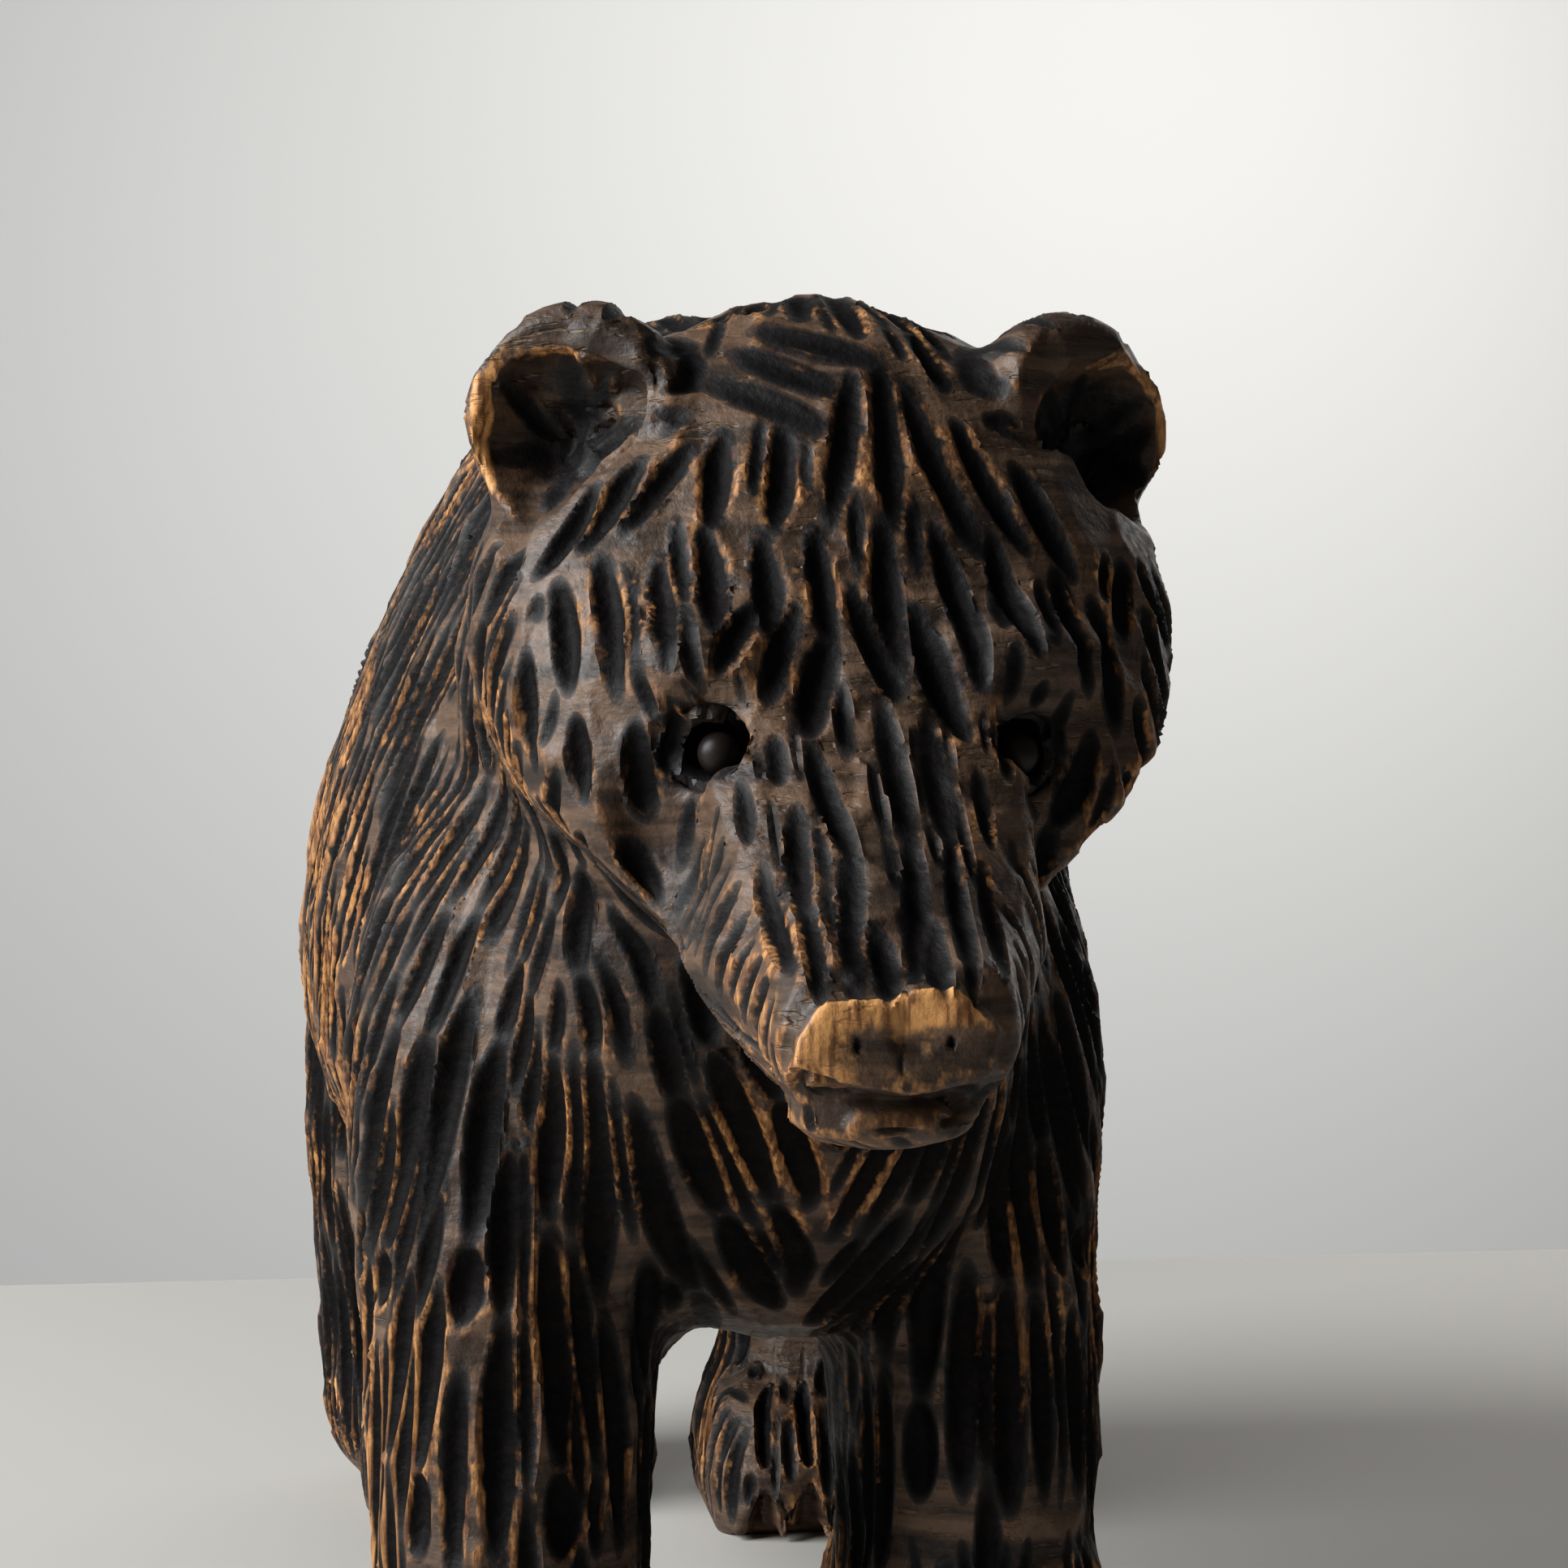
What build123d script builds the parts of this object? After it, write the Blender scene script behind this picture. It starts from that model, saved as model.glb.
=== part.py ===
from build123d import *
import os
from math import cos, radians, sin, sqrt

# Carved wooden bear: one block of wood, walking on four legs, with two bead eyes on wire pins.
#
# The bear faces -Y and stands on Z = 0, with its own left side at +X. The origin is on the
# floor, under the middle of its bounding box. All sizes are in millimetres.

# Driving dimensions of the whole figure.
LENGTH = 260.0
WIDTH = 100.0
BACK_HEIGHT = 168.0

NOSE_Y = -LENGTH / 2
TAIL_Y = LENGTH / 2
HALF_WIDTH = WIDTH / 2

# Cross-sections, one side only: shares of the half width and of the height, from the
# bottom of the section up to its top.
PEAR = [(0.0, 0.0), (0.60, 0.04), (0.94, 0.19), (1.0, 0.36), (0.93, 0.52), (0.72, 0.74), (0.38, 0.94), (0.0, 1.0)]
SKULL = [(0.0, 0.0), (0.40, 0.05), (0.74, 0.20), (0.96, 0.40), (0.98, 0.60), (0.80, 0.79), (0.45, 0.93), (0.0, 1.0)]
MUZZLE = [(0.0, 0.0), (0.38, 0.05), (0.74, 0.20), (0.97, 0.45), (0.95, 0.70), (0.76, 0.89), (0.40, 0.98), (0.0, 1.0)]

# Trunk sections from chest to rump: distance along Y, half width, belly height, back height.
TRUNK = [
    (-74.0, 0.24 * HALF_WIDTH, 80.0, 116.0),
    (-66.0, 0.46 * HALF_WIDTH, 68.0, 130.0),
    (-53.0, 0.57 * HALF_WIDTH, 53.0, 145.0),
    (-34.0, 0.74 * HALF_WIDTH, 47.5, 156.5),
    (-8.0, 0.91 * HALF_WIDTH, 47.0, BACK_HEIGHT - 4.0),
    (20.0, 0.97 * HALF_WIDTH, 48.0, BACK_HEIGHT),
    (48.0, 0.97 * HALF_WIDTH, 48.5, BACK_HEIGHT - 1.0),
    (76.0, 0.94 * HALF_WIDTH, 51.0, BACK_HEIGHT - 7.0),
    (99.0, 0.82 * HALF_WIDTH, 58.0, BACK_HEIGHT - 18.0),
    (115.0, 0.60 * HALF_WIDTH, 70.0, BACK_HEIGHT - 32.0),
    (TAIL_Y - 4.0, 0.28 * HALF_WIDTH, 88.0, BACK_HEIGHT - 49.0),
]

# Head sections from neck to nose: profile, distance along Y, middle, half width, chin height, crown height.
HEAD = [
    (SKULL, -36.0, 2.0, 31.0, 80.0, 153.0),
    (SKULL, -50.0, 3.0, 32.0, 83.0, 154.5),
    (SKULL, -64.0, 4.0, 34.0, 87.0, 157.0),
    (SKULL, -76.0, 4.0, 34.5, 88.0, 154.0),
    (SKULL, -86.0, 4.0, 31.5, 86.5, 145.0),
    (SKULL, -94.0, 4.0, 26.0, 84.0, 132.0),
    (MUZZLE, -102.0, 3.5, 19.0, 81.5, 116.0),
    (MUZZLE, -111.0, 3.0, 14.0, 79.5, 105.5),
    (MUZZLE, -121.0, 2.5, 11.5, 79.0, 98.0),
    (MUZZLE, NOSE_Y, 2.0, 9.2, 81.0, 92.5),
]

# Legs as sections from the trunk down into the paw: height, shift outwards, shift backwards,
# half width, half length.
FRONT_LEG = [
    (106.0, -4.0, 16.0, 14.0, 21.0),
    (88.0, -1.0, 13.0, 17.5, 25.5),
    (70.0, 0.0, 9.0, 17.5, 24.0),
    (52.0, 0.0, 5.0, 16.2, 20.5),
    (34.0, 0.0, 2.0, 15.5, 18.0),
    (18.0, 0.0, 1.5, 14.6, 17.5),
    (5.0, 0.0, 1.5, 13.5, 17.0),
]
HIND_LEG = [
    (108.0, -2.0, 3.0, 16.0, 24.0),
    (87.0, 3.5, 3.0, 20.0, 28.5),
    (67.0, 5.0, 3.0, 19.8, 29.5),
    (48.0, 5.2, 4.0, 19.2, 26.5),
    (31.0, 5.0, 6.0, 18.0, 21.5),
    (17.0, 5.0, 6.0, 17.5, 20.0),
    (3.0, 1.5, 5.0, 15.0, 18.0),
]
# Each leg: side, distance out from the middle of the body, position along Y, sections.
# The right front and left hind legs step forwards.
LEGS = {
    "front_right": (-1, 25.0, -46.0, FRONT_LEG),
    "front_left": (1, 27.5, -30.0, FRONT_LEG),
    "hind_right": (-1, 25.0, 95.0, HIND_LEG),
    "hind_left": (1, 25.0, 77.0, HIND_LEG),
}

# Paws: blocky rounded feet, the same on all four legs. Height, shift backwards, half width, half length.
PAW = [
    (0.0, 0.0, 15.0, 21.5),
    (6.0, 0.0, 16.0, 23.0),
    (13.0, 1.0, 16.0, 21.5),
    (21.0, 3.5, 14.0, 17.5),
]
PAW_CORNER = 9.0

# Claws: five along the front edge of each paw, with the edge cut back above the floor behind them.
CLAWS_PER_PAW = 5
CLAW_SPACING = 6.3
CLAW_ROOT_RADIUS = 3.3
CLAW_TIP_RADIUS = 0.6
CLAW_ROOT_HEIGHT = 7.5
CLAW_TIP_HEIGHT = 0.7
CLAW_REACH = 4.0
CLAW_ROW_BOW = 0.7
TOE_LIFT_HEIGHT = 5.0
TOE_LIFT_DEPTH = 7.0
TOE_LIFT_OVERSHOOT = 4.0

# Ears: rounded lobes that face forwards and outwards, bevelled round the front and hollowed from it.
# Lobe sections: distance along the ear's axis, half width, half height. Cup sections: the same, as
# shares of the cup's half width and half height.
HEAD_X = 4.0
EAR_X = 25.8
EAR_Y = -79.0
EAR_Z = 142.6
EAR_TURN = 28.0
EAR_LOBE = [(0.0, 10.4, 9.8), (-4.0, 11.6, 11.8), (-10.0, 9.8, 10.2), (-14.0, 6.0, 7.0)]
EAR_CUP_OUT = 0.8
EAR_CUP_UP = -1.2
EAR_CUP_HALF_WIDTH = 8.3
EAR_CUP_HALF_HEIGHT = 8.0
EAR_CUP = [(1.0, 1.05, 1.05), (-2.8, 0.85, 0.85), (-5.5, 0.45, 0.45)]

# Eyes: a glass bead on a wire pin, seated in a countersunk socket.
FACE_X = 4.5
EYE_X = 13.8
EYE_Y = -99.0
EYE_Z = 110.8
EYE_TURN = 40.0
EYE_LIFT = 0.15
SOCKET_RADIUS = 3.3
BEAD_RADIUS = 2.0
PIN_RADIUS = 0.5
PIN_DEPTH = 10.0
FIT_GAP = 0.02

# Mouth and nostrils.
MOUTH_Z = 84.0
MOUTH_GAPE = 1.2
MOUTH_BACK_Y = -107.0
MOUTH_BACK_Z = 88.0
LIP_SETBACK = 4.5
LIP_CUT_HEIGHT = 10.0
NOSTRIL_SPACING = 7.4
NOSTRIL_RADIUS = 0.9
NOSTRIL_DEPTH = 3.0
NOSTRIL_Z = 87.6

# Stub tail.
TAIL_RADIUS = 7.0
TAIL_HEIGHT = 24.0
TAIL_TIP_Z = 94.0

CLAW_LENGTH = sqrt(CLAW_REACH**2 + (CLAW_ROOT_HEIGHT - CLAW_TIP_HEIGHT) ** 2)
PIN_HOLE_RADIUS = PIN_RADIUS + FIT_GAP
# A ball seated in a 90 degree cone has its centre this far under the cone's mouth.
BEAD_SINK = SOCKET_RADIUS - sqrt(2) * BEAD_RADIUS - FIT_GAP


def outline(profile, x, y, half_width, bottom, top):
    """The closed left-right symmetrical section, square to the body, of a profile between two heights."""
    one_side = [(u * half_width, bottom + v * (top - bottom)) for u, v in profile]
    other_side = [(-u, v) for u, v in reversed(one_side[1:-1])]
    with BuildSketch(Plane(origin=(x, y, 0), x_dir=(1, 0, 0), z_dir=(0, -1, 0))) as section:
        with BuildLine():
            Spline(*one_side, *other_side, periodic=True)
        make_face()
    return section.sketch


def oval(plane, half_width, half_height):
    """An ellipse on a plane."""
    with BuildSketch(plane) as section:
        Ellipse(half_width, half_height)
    return section.sketch


def paw_section(x, y, height, half_width, half_length):
    """A rounded rectangle that is one level of a paw."""
    with BuildSketch(Plane(origin=(x, y, height))) as section:
        RectangleRounded(2 * half_width, 2 * half_length, PAW_CORNER)
    return section.sketch


def ear_plane(side, out=0.0, up=0.0):
    """The plane of an ear's open face, with its origin moved outwards and upwards within the plane."""
    turn = radians(EAR_TURN)
    return Plane(
        origin=(HEAD_X + side * (EAR_X + out * cos(turn)), EAR_Y + out * sin(turn), EAR_Z + up),
        x_dir=(cos(turn), side * sin(turn), 0),
        z_dir=(side * sin(turn), -cos(turn), 0),
    )


def eye_plane(side):
    """The plane across the mouth of an eye socket, looking out of the head."""
    turn = radians(EYE_TURN)
    return Plane(
        origin=(FACE_X + side * EYE_X, EYE_Y, EYE_Z),
        z_dir=(side * sin(turn), -cos(turn), EYE_LIFT),
    )


def eye_bead(side):
    """A glass bead with a blind hole in its back for the pin."""
    with BuildPart() as bead:
        with Locations(eye_plane(side).offset(-BEAD_SINK)):
            Sphere(BEAD_RADIUS)
            Cylinder(
                PIN_HOLE_RADIUS,
                BEAD_RADIUS,
                align=(Align.CENTER, Align.CENTER, Align.MAX),
                mode=Mode.SUBTRACT,
            )
    return bead.part


def eye_pin(side):
    """The wire that holds a bead, from the middle of the bead into the wood."""
    with BuildPart() as pin:
        with Locations(eye_plane(side).offset(-BEAD_SINK - FIT_GAP)):
            Cylinder(
                PIN_RADIUS,
                PIN_DEPTH - BEAD_SINK - 2 * FIT_GAP,
                align=(Align.CENTER, Align.CENTER, Align.MAX),
            )
    return pin.part


# The carved block: trunk, head, ears, legs, paws, claws and tail are all one piece of wood.
with BuildPart() as carved_body:
    loft([outline(PEAR, 0, y, half, belly, back) for y, half, belly, back in TRUNK])
    loft([outline(profile, x, y, half, chin, crown) for profile, y, x, half, chin, crown in HEAD])

    # Tail: a short flattened cone lying against the rump.
    with Locations((0, TAIL_Y - TAIL_RADIUS, TAIL_TIP_Z)):
        Cone(0.6 * TAIL_RADIUS, TAIL_RADIUS, TAIL_HEIGHT, align=(Align.CENTER, Align.CENTER, Align.MIN))

    for side, leg_out, leg_y, stations in LEGS.values():
        # Leg, from inside the trunk down into the paw.
        loft([
            oval(Plane(origin=(side * (leg_out + out), leg_y + back, height)), half_width, half_length)
            for height, out, back, half_width, half_length in stations
        ])
        # Paw, cut back under its front edge.
        leg_x = side * leg_out
        loft([
            paw_section(leg_x, leg_y + back, height, half_width, half_length)
            for height, back, half_width, half_length in PAW
        ])
        toe_y = leg_y - max(half_length for _, _, _, half_length in PAW)
        paw_half_width = max(half_width for _, _, half_width, _ in PAW)
        with BuildSketch(Plane.YZ.offset(leg_x)):
            with BuildLine():
                Polyline(
                    (toe_y - TOE_LIFT_OVERSHOOT, -1),
                    (toe_y + TOE_LIFT_DEPTH, -1),
                    (toe_y + TOE_LIFT_DEPTH, 0),
                    (toe_y, TOE_LIFT_HEIGHT),
                    (toe_y - TOE_LIFT_OVERSHOOT, TOE_LIFT_HEIGHT),
                    close=True,
                )
            make_face()
        extrude(amount=paw_half_width + 1, both=True, mode=Mode.SUBTRACT)
        # Claws, hanging from the toes to the floor and set back a little towards the sides of the paw.
        for claw in range(CLAWS_PER_PAW):
            offset = claw - (CLAWS_PER_PAW - 1) / 2
            root = (leg_x + offset * CLAW_SPACING, toe_y + CLAW_REACH + CLAW_ROW_BOW * offset**2, CLAW_ROOT_HEIGHT)
            fall = (0, -CLAW_REACH, CLAW_TIP_HEIGHT - CLAW_ROOT_HEIGHT)
            with Locations(Plane(origin=root, z_dir=fall)):
                Cone(
                    CLAW_ROOT_RADIUS,
                    CLAW_TIP_RADIUS,
                    CLAW_LENGTH,
                    align=(Align.CENTER, Align.CENTER, Align.MIN),
                )

    # Ears: lobes that narrow back into the skull, each with a hollow scooped from the front.
    for side in (-1, 1):
        face = ear_plane(side)
        loft([oval(face.offset(depth), half_width, half_height) for depth, half_width, half_height in EAR_LOBE])
    for side in (-1, 1):
        cup = ear_plane(side, EAR_CUP_OUT, EAR_CUP_UP)
        loft(
            [
                oval(cup.offset(depth), wide * EAR_CUP_HALF_WIDTH, high * EAR_CUP_HALF_HEIGHT)
                for depth, wide, high in EAR_CUP
            ],
            mode=Mode.SUBTRACT,
        )

    # Eye sockets: a cone for the bead and a hole for its pin.
    for side in (-1, 1):
        with Locations(eye_plane(side)):
            CounterSinkHole(PIN_HOLE_RADIUS, SOCKET_RADIUS, PIN_DEPTH, counter_sink_angle=90)

    # Mouth: a slit that narrows towards the cheeks, with the lower lip set back from the nose.
    lip_y = NOSE_Y + LIP_SETBACK
    with BuildSketch(Plane.YZ):
        with BuildLine():
            Polyline(
                (NOSE_Y - 1, MOUTH_Z),
                (lip_y, MOUTH_Z),
                (MOUTH_BACK_Y, MOUTH_BACK_Z),
                (lip_y, MOUTH_Z - MOUTH_GAPE),
                (lip_y + 1, MOUTH_Z - LIP_CUT_HEIGHT),
                (NOSE_Y - 1, MOUTH_Z - LIP_CUT_HEIGHT),
                close=True,
            )
        make_face()
    extrude(amount=HALF_WIDTH / 2, both=True, mode=Mode.SUBTRACT)

    # Nostrils: two blind holes in the flat front of the nose.
    nose_x = HEAD[-1][2]
    with Locations(Plane(origin=(nose_x, NOSE_Y, NOSTRIL_Z), x_dir=(1, 0, 0), z_dir=(0, -1, 0))):
        with GridLocations(NOSTRIL_SPACING, 1, 2, 1):
            Hole(NOSTRIL_RADIUS, NOSTRIL_DEPTH)

pieces = {"carved_body": carved_body.part}
for side, hand in ((-1, "right"), (1, "left")):
    pieces[f"{hand}_eye_bead"] = eye_bead(side)
    pieces[f"{hand}_eye_pin"] = eye_pin(side)

os.makedirs("parts", exist_ok=True)
for name, piece in pieces.items():
    piece.label = name
    export_step(piece, f"parts/{name}.step")
    print(name, len(piece.solids()), round(piece.volume, 1), piece.bounding_box())
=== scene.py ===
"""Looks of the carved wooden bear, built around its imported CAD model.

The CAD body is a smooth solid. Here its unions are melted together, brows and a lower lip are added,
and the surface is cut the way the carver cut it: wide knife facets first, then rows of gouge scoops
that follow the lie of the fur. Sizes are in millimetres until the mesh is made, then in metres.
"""

import math
import random
from collections import deque, namedtuple

import bpy
import numpy as np
import openvdb as vdb
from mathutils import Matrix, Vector
from mathutils.bvhtree import BVHTree


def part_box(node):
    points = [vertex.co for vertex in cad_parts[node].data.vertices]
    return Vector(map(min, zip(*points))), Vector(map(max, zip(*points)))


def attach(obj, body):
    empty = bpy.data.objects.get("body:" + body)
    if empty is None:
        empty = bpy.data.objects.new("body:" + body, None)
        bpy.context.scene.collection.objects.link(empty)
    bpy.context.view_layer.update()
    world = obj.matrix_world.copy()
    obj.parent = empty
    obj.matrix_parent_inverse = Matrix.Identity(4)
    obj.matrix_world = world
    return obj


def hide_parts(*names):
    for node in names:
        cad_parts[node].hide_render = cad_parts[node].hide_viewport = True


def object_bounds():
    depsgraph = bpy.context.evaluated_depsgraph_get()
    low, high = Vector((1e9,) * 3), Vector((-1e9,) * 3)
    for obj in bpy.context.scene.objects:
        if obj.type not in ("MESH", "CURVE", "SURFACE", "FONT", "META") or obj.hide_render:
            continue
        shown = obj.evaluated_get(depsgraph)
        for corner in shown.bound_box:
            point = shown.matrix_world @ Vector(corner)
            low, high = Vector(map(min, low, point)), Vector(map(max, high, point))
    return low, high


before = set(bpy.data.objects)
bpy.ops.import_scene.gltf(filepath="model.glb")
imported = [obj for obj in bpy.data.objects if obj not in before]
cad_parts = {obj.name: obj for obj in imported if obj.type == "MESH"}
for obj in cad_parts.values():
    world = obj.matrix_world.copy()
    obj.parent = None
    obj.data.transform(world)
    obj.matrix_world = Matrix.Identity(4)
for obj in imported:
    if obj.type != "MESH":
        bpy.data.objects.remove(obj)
cad_low, cad_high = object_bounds()

MM = 1000.0
chance = random.Random(11)

# --- Sculpted shape --------------------------------------------------------------------------
VOXEL = 0.9
BAND_VOXELS = 12
HEAD_X = 4.0

# How widely the CAD's unions are melted together, and how far the surface then swells to make up
# for the wood that the gouge takes away.
BODY_MELT = 2.6
FACE_MELT = 1.1
EDGE_MELT = 0.55
SWELL = 0.45

# Where one zone gives way to the next. Those with FORWARD run along -y, and those with UP along z.
HEAD_FORWARD = (62.0, 84.0)
SWELL_ENDS_FORWARD = (112.0, 122.0)
NOSE_FORWARD = (116.0, 124.0)
EARS_UP = (136.0, 142.0)
PAWS_UP = (9.0, 20.0)

# Shapes added to the surface or hollowed out of it: place, half sizes and softness of the joint.
# The brow and the hollow of the cheek are on both sides: distance out from the head's middle, y and z.
BROW = ((13.5, -94.5, 119.5), (8.5, 7.0, 5.0), 3.5)
CHEEK_HOLLOW = ((20.0, -104.5, 102.0), (5.5, 8.0, 9.5), 3.0)
LOWER_LIP = ((1.8, -121.0, 80.8), (8.0, 6.6, 2.7), 1.0)
# The hollow of an eye is placed inwards, along y and along z from the middle of its bead, and the gap
# between two toes along x, y and z from the place between them on the floor at the paw's front.
EYE_HOLLOW = ((0.0, -1.6, 0.2), (3.0, 3.6, 2.3), 1.2)
TOE_GAP = ((0.0, -1.0, 1.5), (2.0, 6.0, 6.5), 0.6)
BLEND_MARGIN = 2.0

# The flat undersides of the cheeks: the tilt of the cut, its height at the middle of the head for
# each side, and where and how fast it drops towards the chin. The cut ends at the front of the neck,
# which is rounded: its place, and how far it falls back between two distances from its middle.
JAW_TILT = math.radians(44.6)
JAW_HEIGHTS = {-1: 77.5, 1: 81.0}
JAW_SOFT = 1.2
JAW_FRONT = (-98.0, 0.5)
NECK_FRONT = (-1.0, -75.0)
NECK_ROUND = (12.0, 48.0, 26.0)
NECK_SOFT = 4.0

# Ears, as in the CAD model: place, turn outwards and radius of the lobe. The cup of each ear is
# carved to its own outline, given as directions and distances of its sides from the ear's middle,
# with the outward way at 0 and up at 90. Its walls slope in towards its deepest place.
EAR = (25.8, -79.0, 142.6)
EAR_TURN = math.radians(28.0)
EAR_RADIUS = 11.6
EAR_CUPS = {
    -1: [(98, 5.0), (45, 8.2), (0, 8.0), (290, 9.6), (230, 5.2), (160, 8.6)],
    1: [(125, 3.2), (46, 8.6), (0, 9.6), (309, 9.8), (242, 5.4), (201, 3.6)],
}
EAR_DEEPEST = {-1: (1.5, -2.0), 1: (3.8, -1.0)}
EAR_CUP_SLOPE = 0.6
EAR_RIM = 0.6
EAR_CUP_DEPTH = 7.0
EAR_SOFT = 0.5

# Scoops over the ear's edge, from its front to its back, as distance from its middle and forwards.
# The angles are of the first one and from each to the next, and the slip is how far they stray.
EAR_EDGE_SCOOPS = 9
EAR_EDGE_ANGLES = (-15.0, 26.0)
EAR_EDGE_SLIP = (-4.0, 4.0)
EAR_EDGE_HALF_WIDTH = (1.5, 2.0)
EAR_EDGE_DEPTH = (0.6, 0.9)
EAR_EDGE_PATH = [(EAR_RADIUS - 1.0, 1.0), (EAR_RADIUS + 0.5, -2.5), (EAR_RADIUS, -6.0), (8.5, -11.0)]
# Chisel cuts from the cup's rim to its deepest place, as part of that way and forwards.
EAR_CUP_SCOOPS = 7
EAR_CUP_ANGLES = (-20.0, 51.0)
EAR_CUP_SLIP = (-8.0, 8.0)
CHISEL_HALF_WIDTH = (1.2, 1.8)
CHISEL_DEPTH = (0.5, 0.9)
EAR_CUP_PATH = [(1.0, -0.6), (0.7, -2.4), (0.4, -4.6), (0.15, -6.0)]

# Outline of the nose's flat front: directions and distances of its sides from its middle. The upper
# sides flare out towards the muzzle. The muzzle is trimmed to the outline only in front of the first
# NOSE_TRIM_Y and above the second NOSE_TRIM_UP, and the trim eases off up to the other of each.
NOSE = (1.6, -129.95, 87.4)
NOSE_SIDES = [(97, 4.1), (48, 6.5), (-9, 8.1), (-80, 4.3), (-101, 4.1), (185, 8.8), (151, 7.25)]
NOSE_DEPTH = 12.0
NOSE_FLARE = 0.3
NOSE_EASE = 400.0
NOSE_TRIM_Y = (-128.0, -122.0)
NOSE_TRIM_UP = (82.4, 83.4)

# --- Cuts of the knife and the gouge ---------------------------------------------------------
# A row of scoops keeps that many spacings from the rows beside it and ahead of it, and offers places
# to the next rows every few points. Each pass over the fur is with a narrower gouge. LINE_LEAST is
# the fewest points of a row or a cut, CLEAR_POINTS how many of a cut's points the fur keeps clear of,
# WAY_LEAST where the fur's way is too steep to follow, and BEFORE_BEAR a distance in front of it all.
STEP = 1.0
ROW_STEPS = 80
ROW_GAP = 0.92
ROW_END_GAP = 0.62
OFFER_EVERY = 5
LINE_LEAST = 4
CLEAR_POINTS = 10
WAY_LEAST = 0.15
BEFORE_BEAR = 200.0
FUR_PASSES = (1.0, 0.74, 0.58)
FUR_STARTS = 16000
EYE_CLEAR = 2.7

# The knife's facets: how many places are tried, how far apart they are, the depth at which one
# ends, and their size on the paws and the muzzle.
FACET_STARTS = 12000
FACET_GAP = 4.6
FACET_LIMIT = 1.1
FACET_SMALL = 0.6
FACET_HALF_LENGTH = (6.0, 9.0)
FACET_HALF_WIDTH = (3.6, 4.8)
FACET_BITE = (0.3, 0.6)
FACET_TILT_ALONG = (-0.1, 0.1)
FACET_TILT_ACROSS = (-0.14, 0.14)
FACET_TURN = (-0.35, 0.35)
FACET_SOLE_TOP = 4.0
FACET_WAY_LEAST = 0.1
FACET_FACING = 0.4
FACET_STEEPEST = 0.6

# How much the gouge work varies. A short scoop's size is a base and so much for each step of it.
BOW = (-0.5, 0.5)
FRONT_WIDTH_VARIES = (0.9, 1.12)
FRONT_DEPTH_VARIES = (0.85, 1.1)
FRONT_CUT_STEPS = (-0.08, 0.2, 0.5, 0.8, 1.08)
SCOOP_SIZE_VARIES = (0.85, 1.12)
SCOOP_BLUNT = (0.32, 0.5)
SCOOP_OVERLAP = (1.0, 2.6)
SCOOP_POINTS = 7
SHORT_SCOOP = (0.5, 0.08)
DEPTH_TAPER = 0.8
CUT_FACING = (0.0, 0.35)

# Half width, depth and bluntness of the ends of each tool's cuts.
CROWN_GOUGE = (2.4, 0.9, 0.42)
FACE_GOUGE = (1.85, 1.5, 0.42)
MUZZLE_GOUGE = (1.35, 1.1, 0.42)
JAW_KNIFE = (0.6, 0.7, 0.3)
MOUTH_KNIFE = (0.7, 0.8, 0.3)
NOSTRIL_DRILL = (0.5, 0.6, 0.5)
CREASE_KNIFE = (0.4, 0.4, 0.3)
TOE_GOUGE = (1.4, 1.7, 0.4)
EAR_BLUNT = 0.62

# Points this near to a cut's edge are drawn onto it, and no facet shows in cuts of this depth. The
# cells, and the span of their numbers, serve to find near points.
SNAP = 0.24
FACETS_END = 0.6
OUTSIDE_KEPT = (-2.0, 3.0)
TAKEN_CELL = 6.0
CELL = 4.0
CELL_SPAN = 4096
RIDGE_SPREAD = 2
CREASE_ANGLE = 38.0

# Gouge cuts of the face, as pairs of (x, z) seen from the front, from the upper end to the lower.
CROWN_CUTS = [
    ((-3.0, 152.0), (8.5, 148.0)),
    ((-5.5, 149.5), (5.0, 144.5)),
    ((-8.0, 146.0), (2.5, 141.0)),
]
FACE_CUTS = [
    ((-7.5, 141.0), (-9.0, 131.5)),
    ((-2.0, 141.0), (-3.5, 131.5)),
    ((5.0, 146.5), (1.5, 132.0)),
    ((8.3, 147.5), (7.7, 132.0)),
    ((10.2, 146.0), (15.4, 130.0)),
    ((15.0, 142.0), (20.3, 130.0)),
    ((-23.0, 126.5), (-22.3, 116.5)),
    ((-19.0, 129.0), (-18.2, 116.0)),
    ((-14.0, 129.0), (-13.8, 118.5)),
    ((-9.8, 131.5), (-9.6, 122.0)),
    ((-4.9, 131.0), (-4.5, 121.0)),
    ((0.0, 131.5), (0.8, 121.0)),
    ((6.6, 132.0), (6.9, 118.0)),
    ((11.5, 131.5), (14.2, 117.0)),
    ((17.0, 131.0), (19.5, 120.0)),
    ((-5.6, 124.5), (-9.6, 117.8)),
    ((-2.3, 124.0), (-5.2, 115.5)),
    ((0.8, 121.0), (-1.8, 112.5)),
    ((2.6, 126.0), (6.3, 115.8)),
    ((8.6, 124.0), (12.1, 112.5)),
    ((-26.0, 120.0), (-25.3, 109.5)),
    ((-21.8, 114.0), (-21.2, 106.5)),
    ((-17.0, 113.5), (-15.5, 105.0)),
    ((-17.4, 103.0), (-14.8, 97.0)),
    ((-10.3, 139.7), (-16.8, 131.5)),
    ((-15.0, 138.5), (-20.7, 129.7)),
    ((-19.2, 136.0), (-24.8, 127.5)),
    ((20.5, 138.0), (25.0, 127.5)),
    ((23.5, 128.0), (25.5, 116.5)),
    ((27.0, 125.0), (28.5, 113.0)),
]
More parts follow.
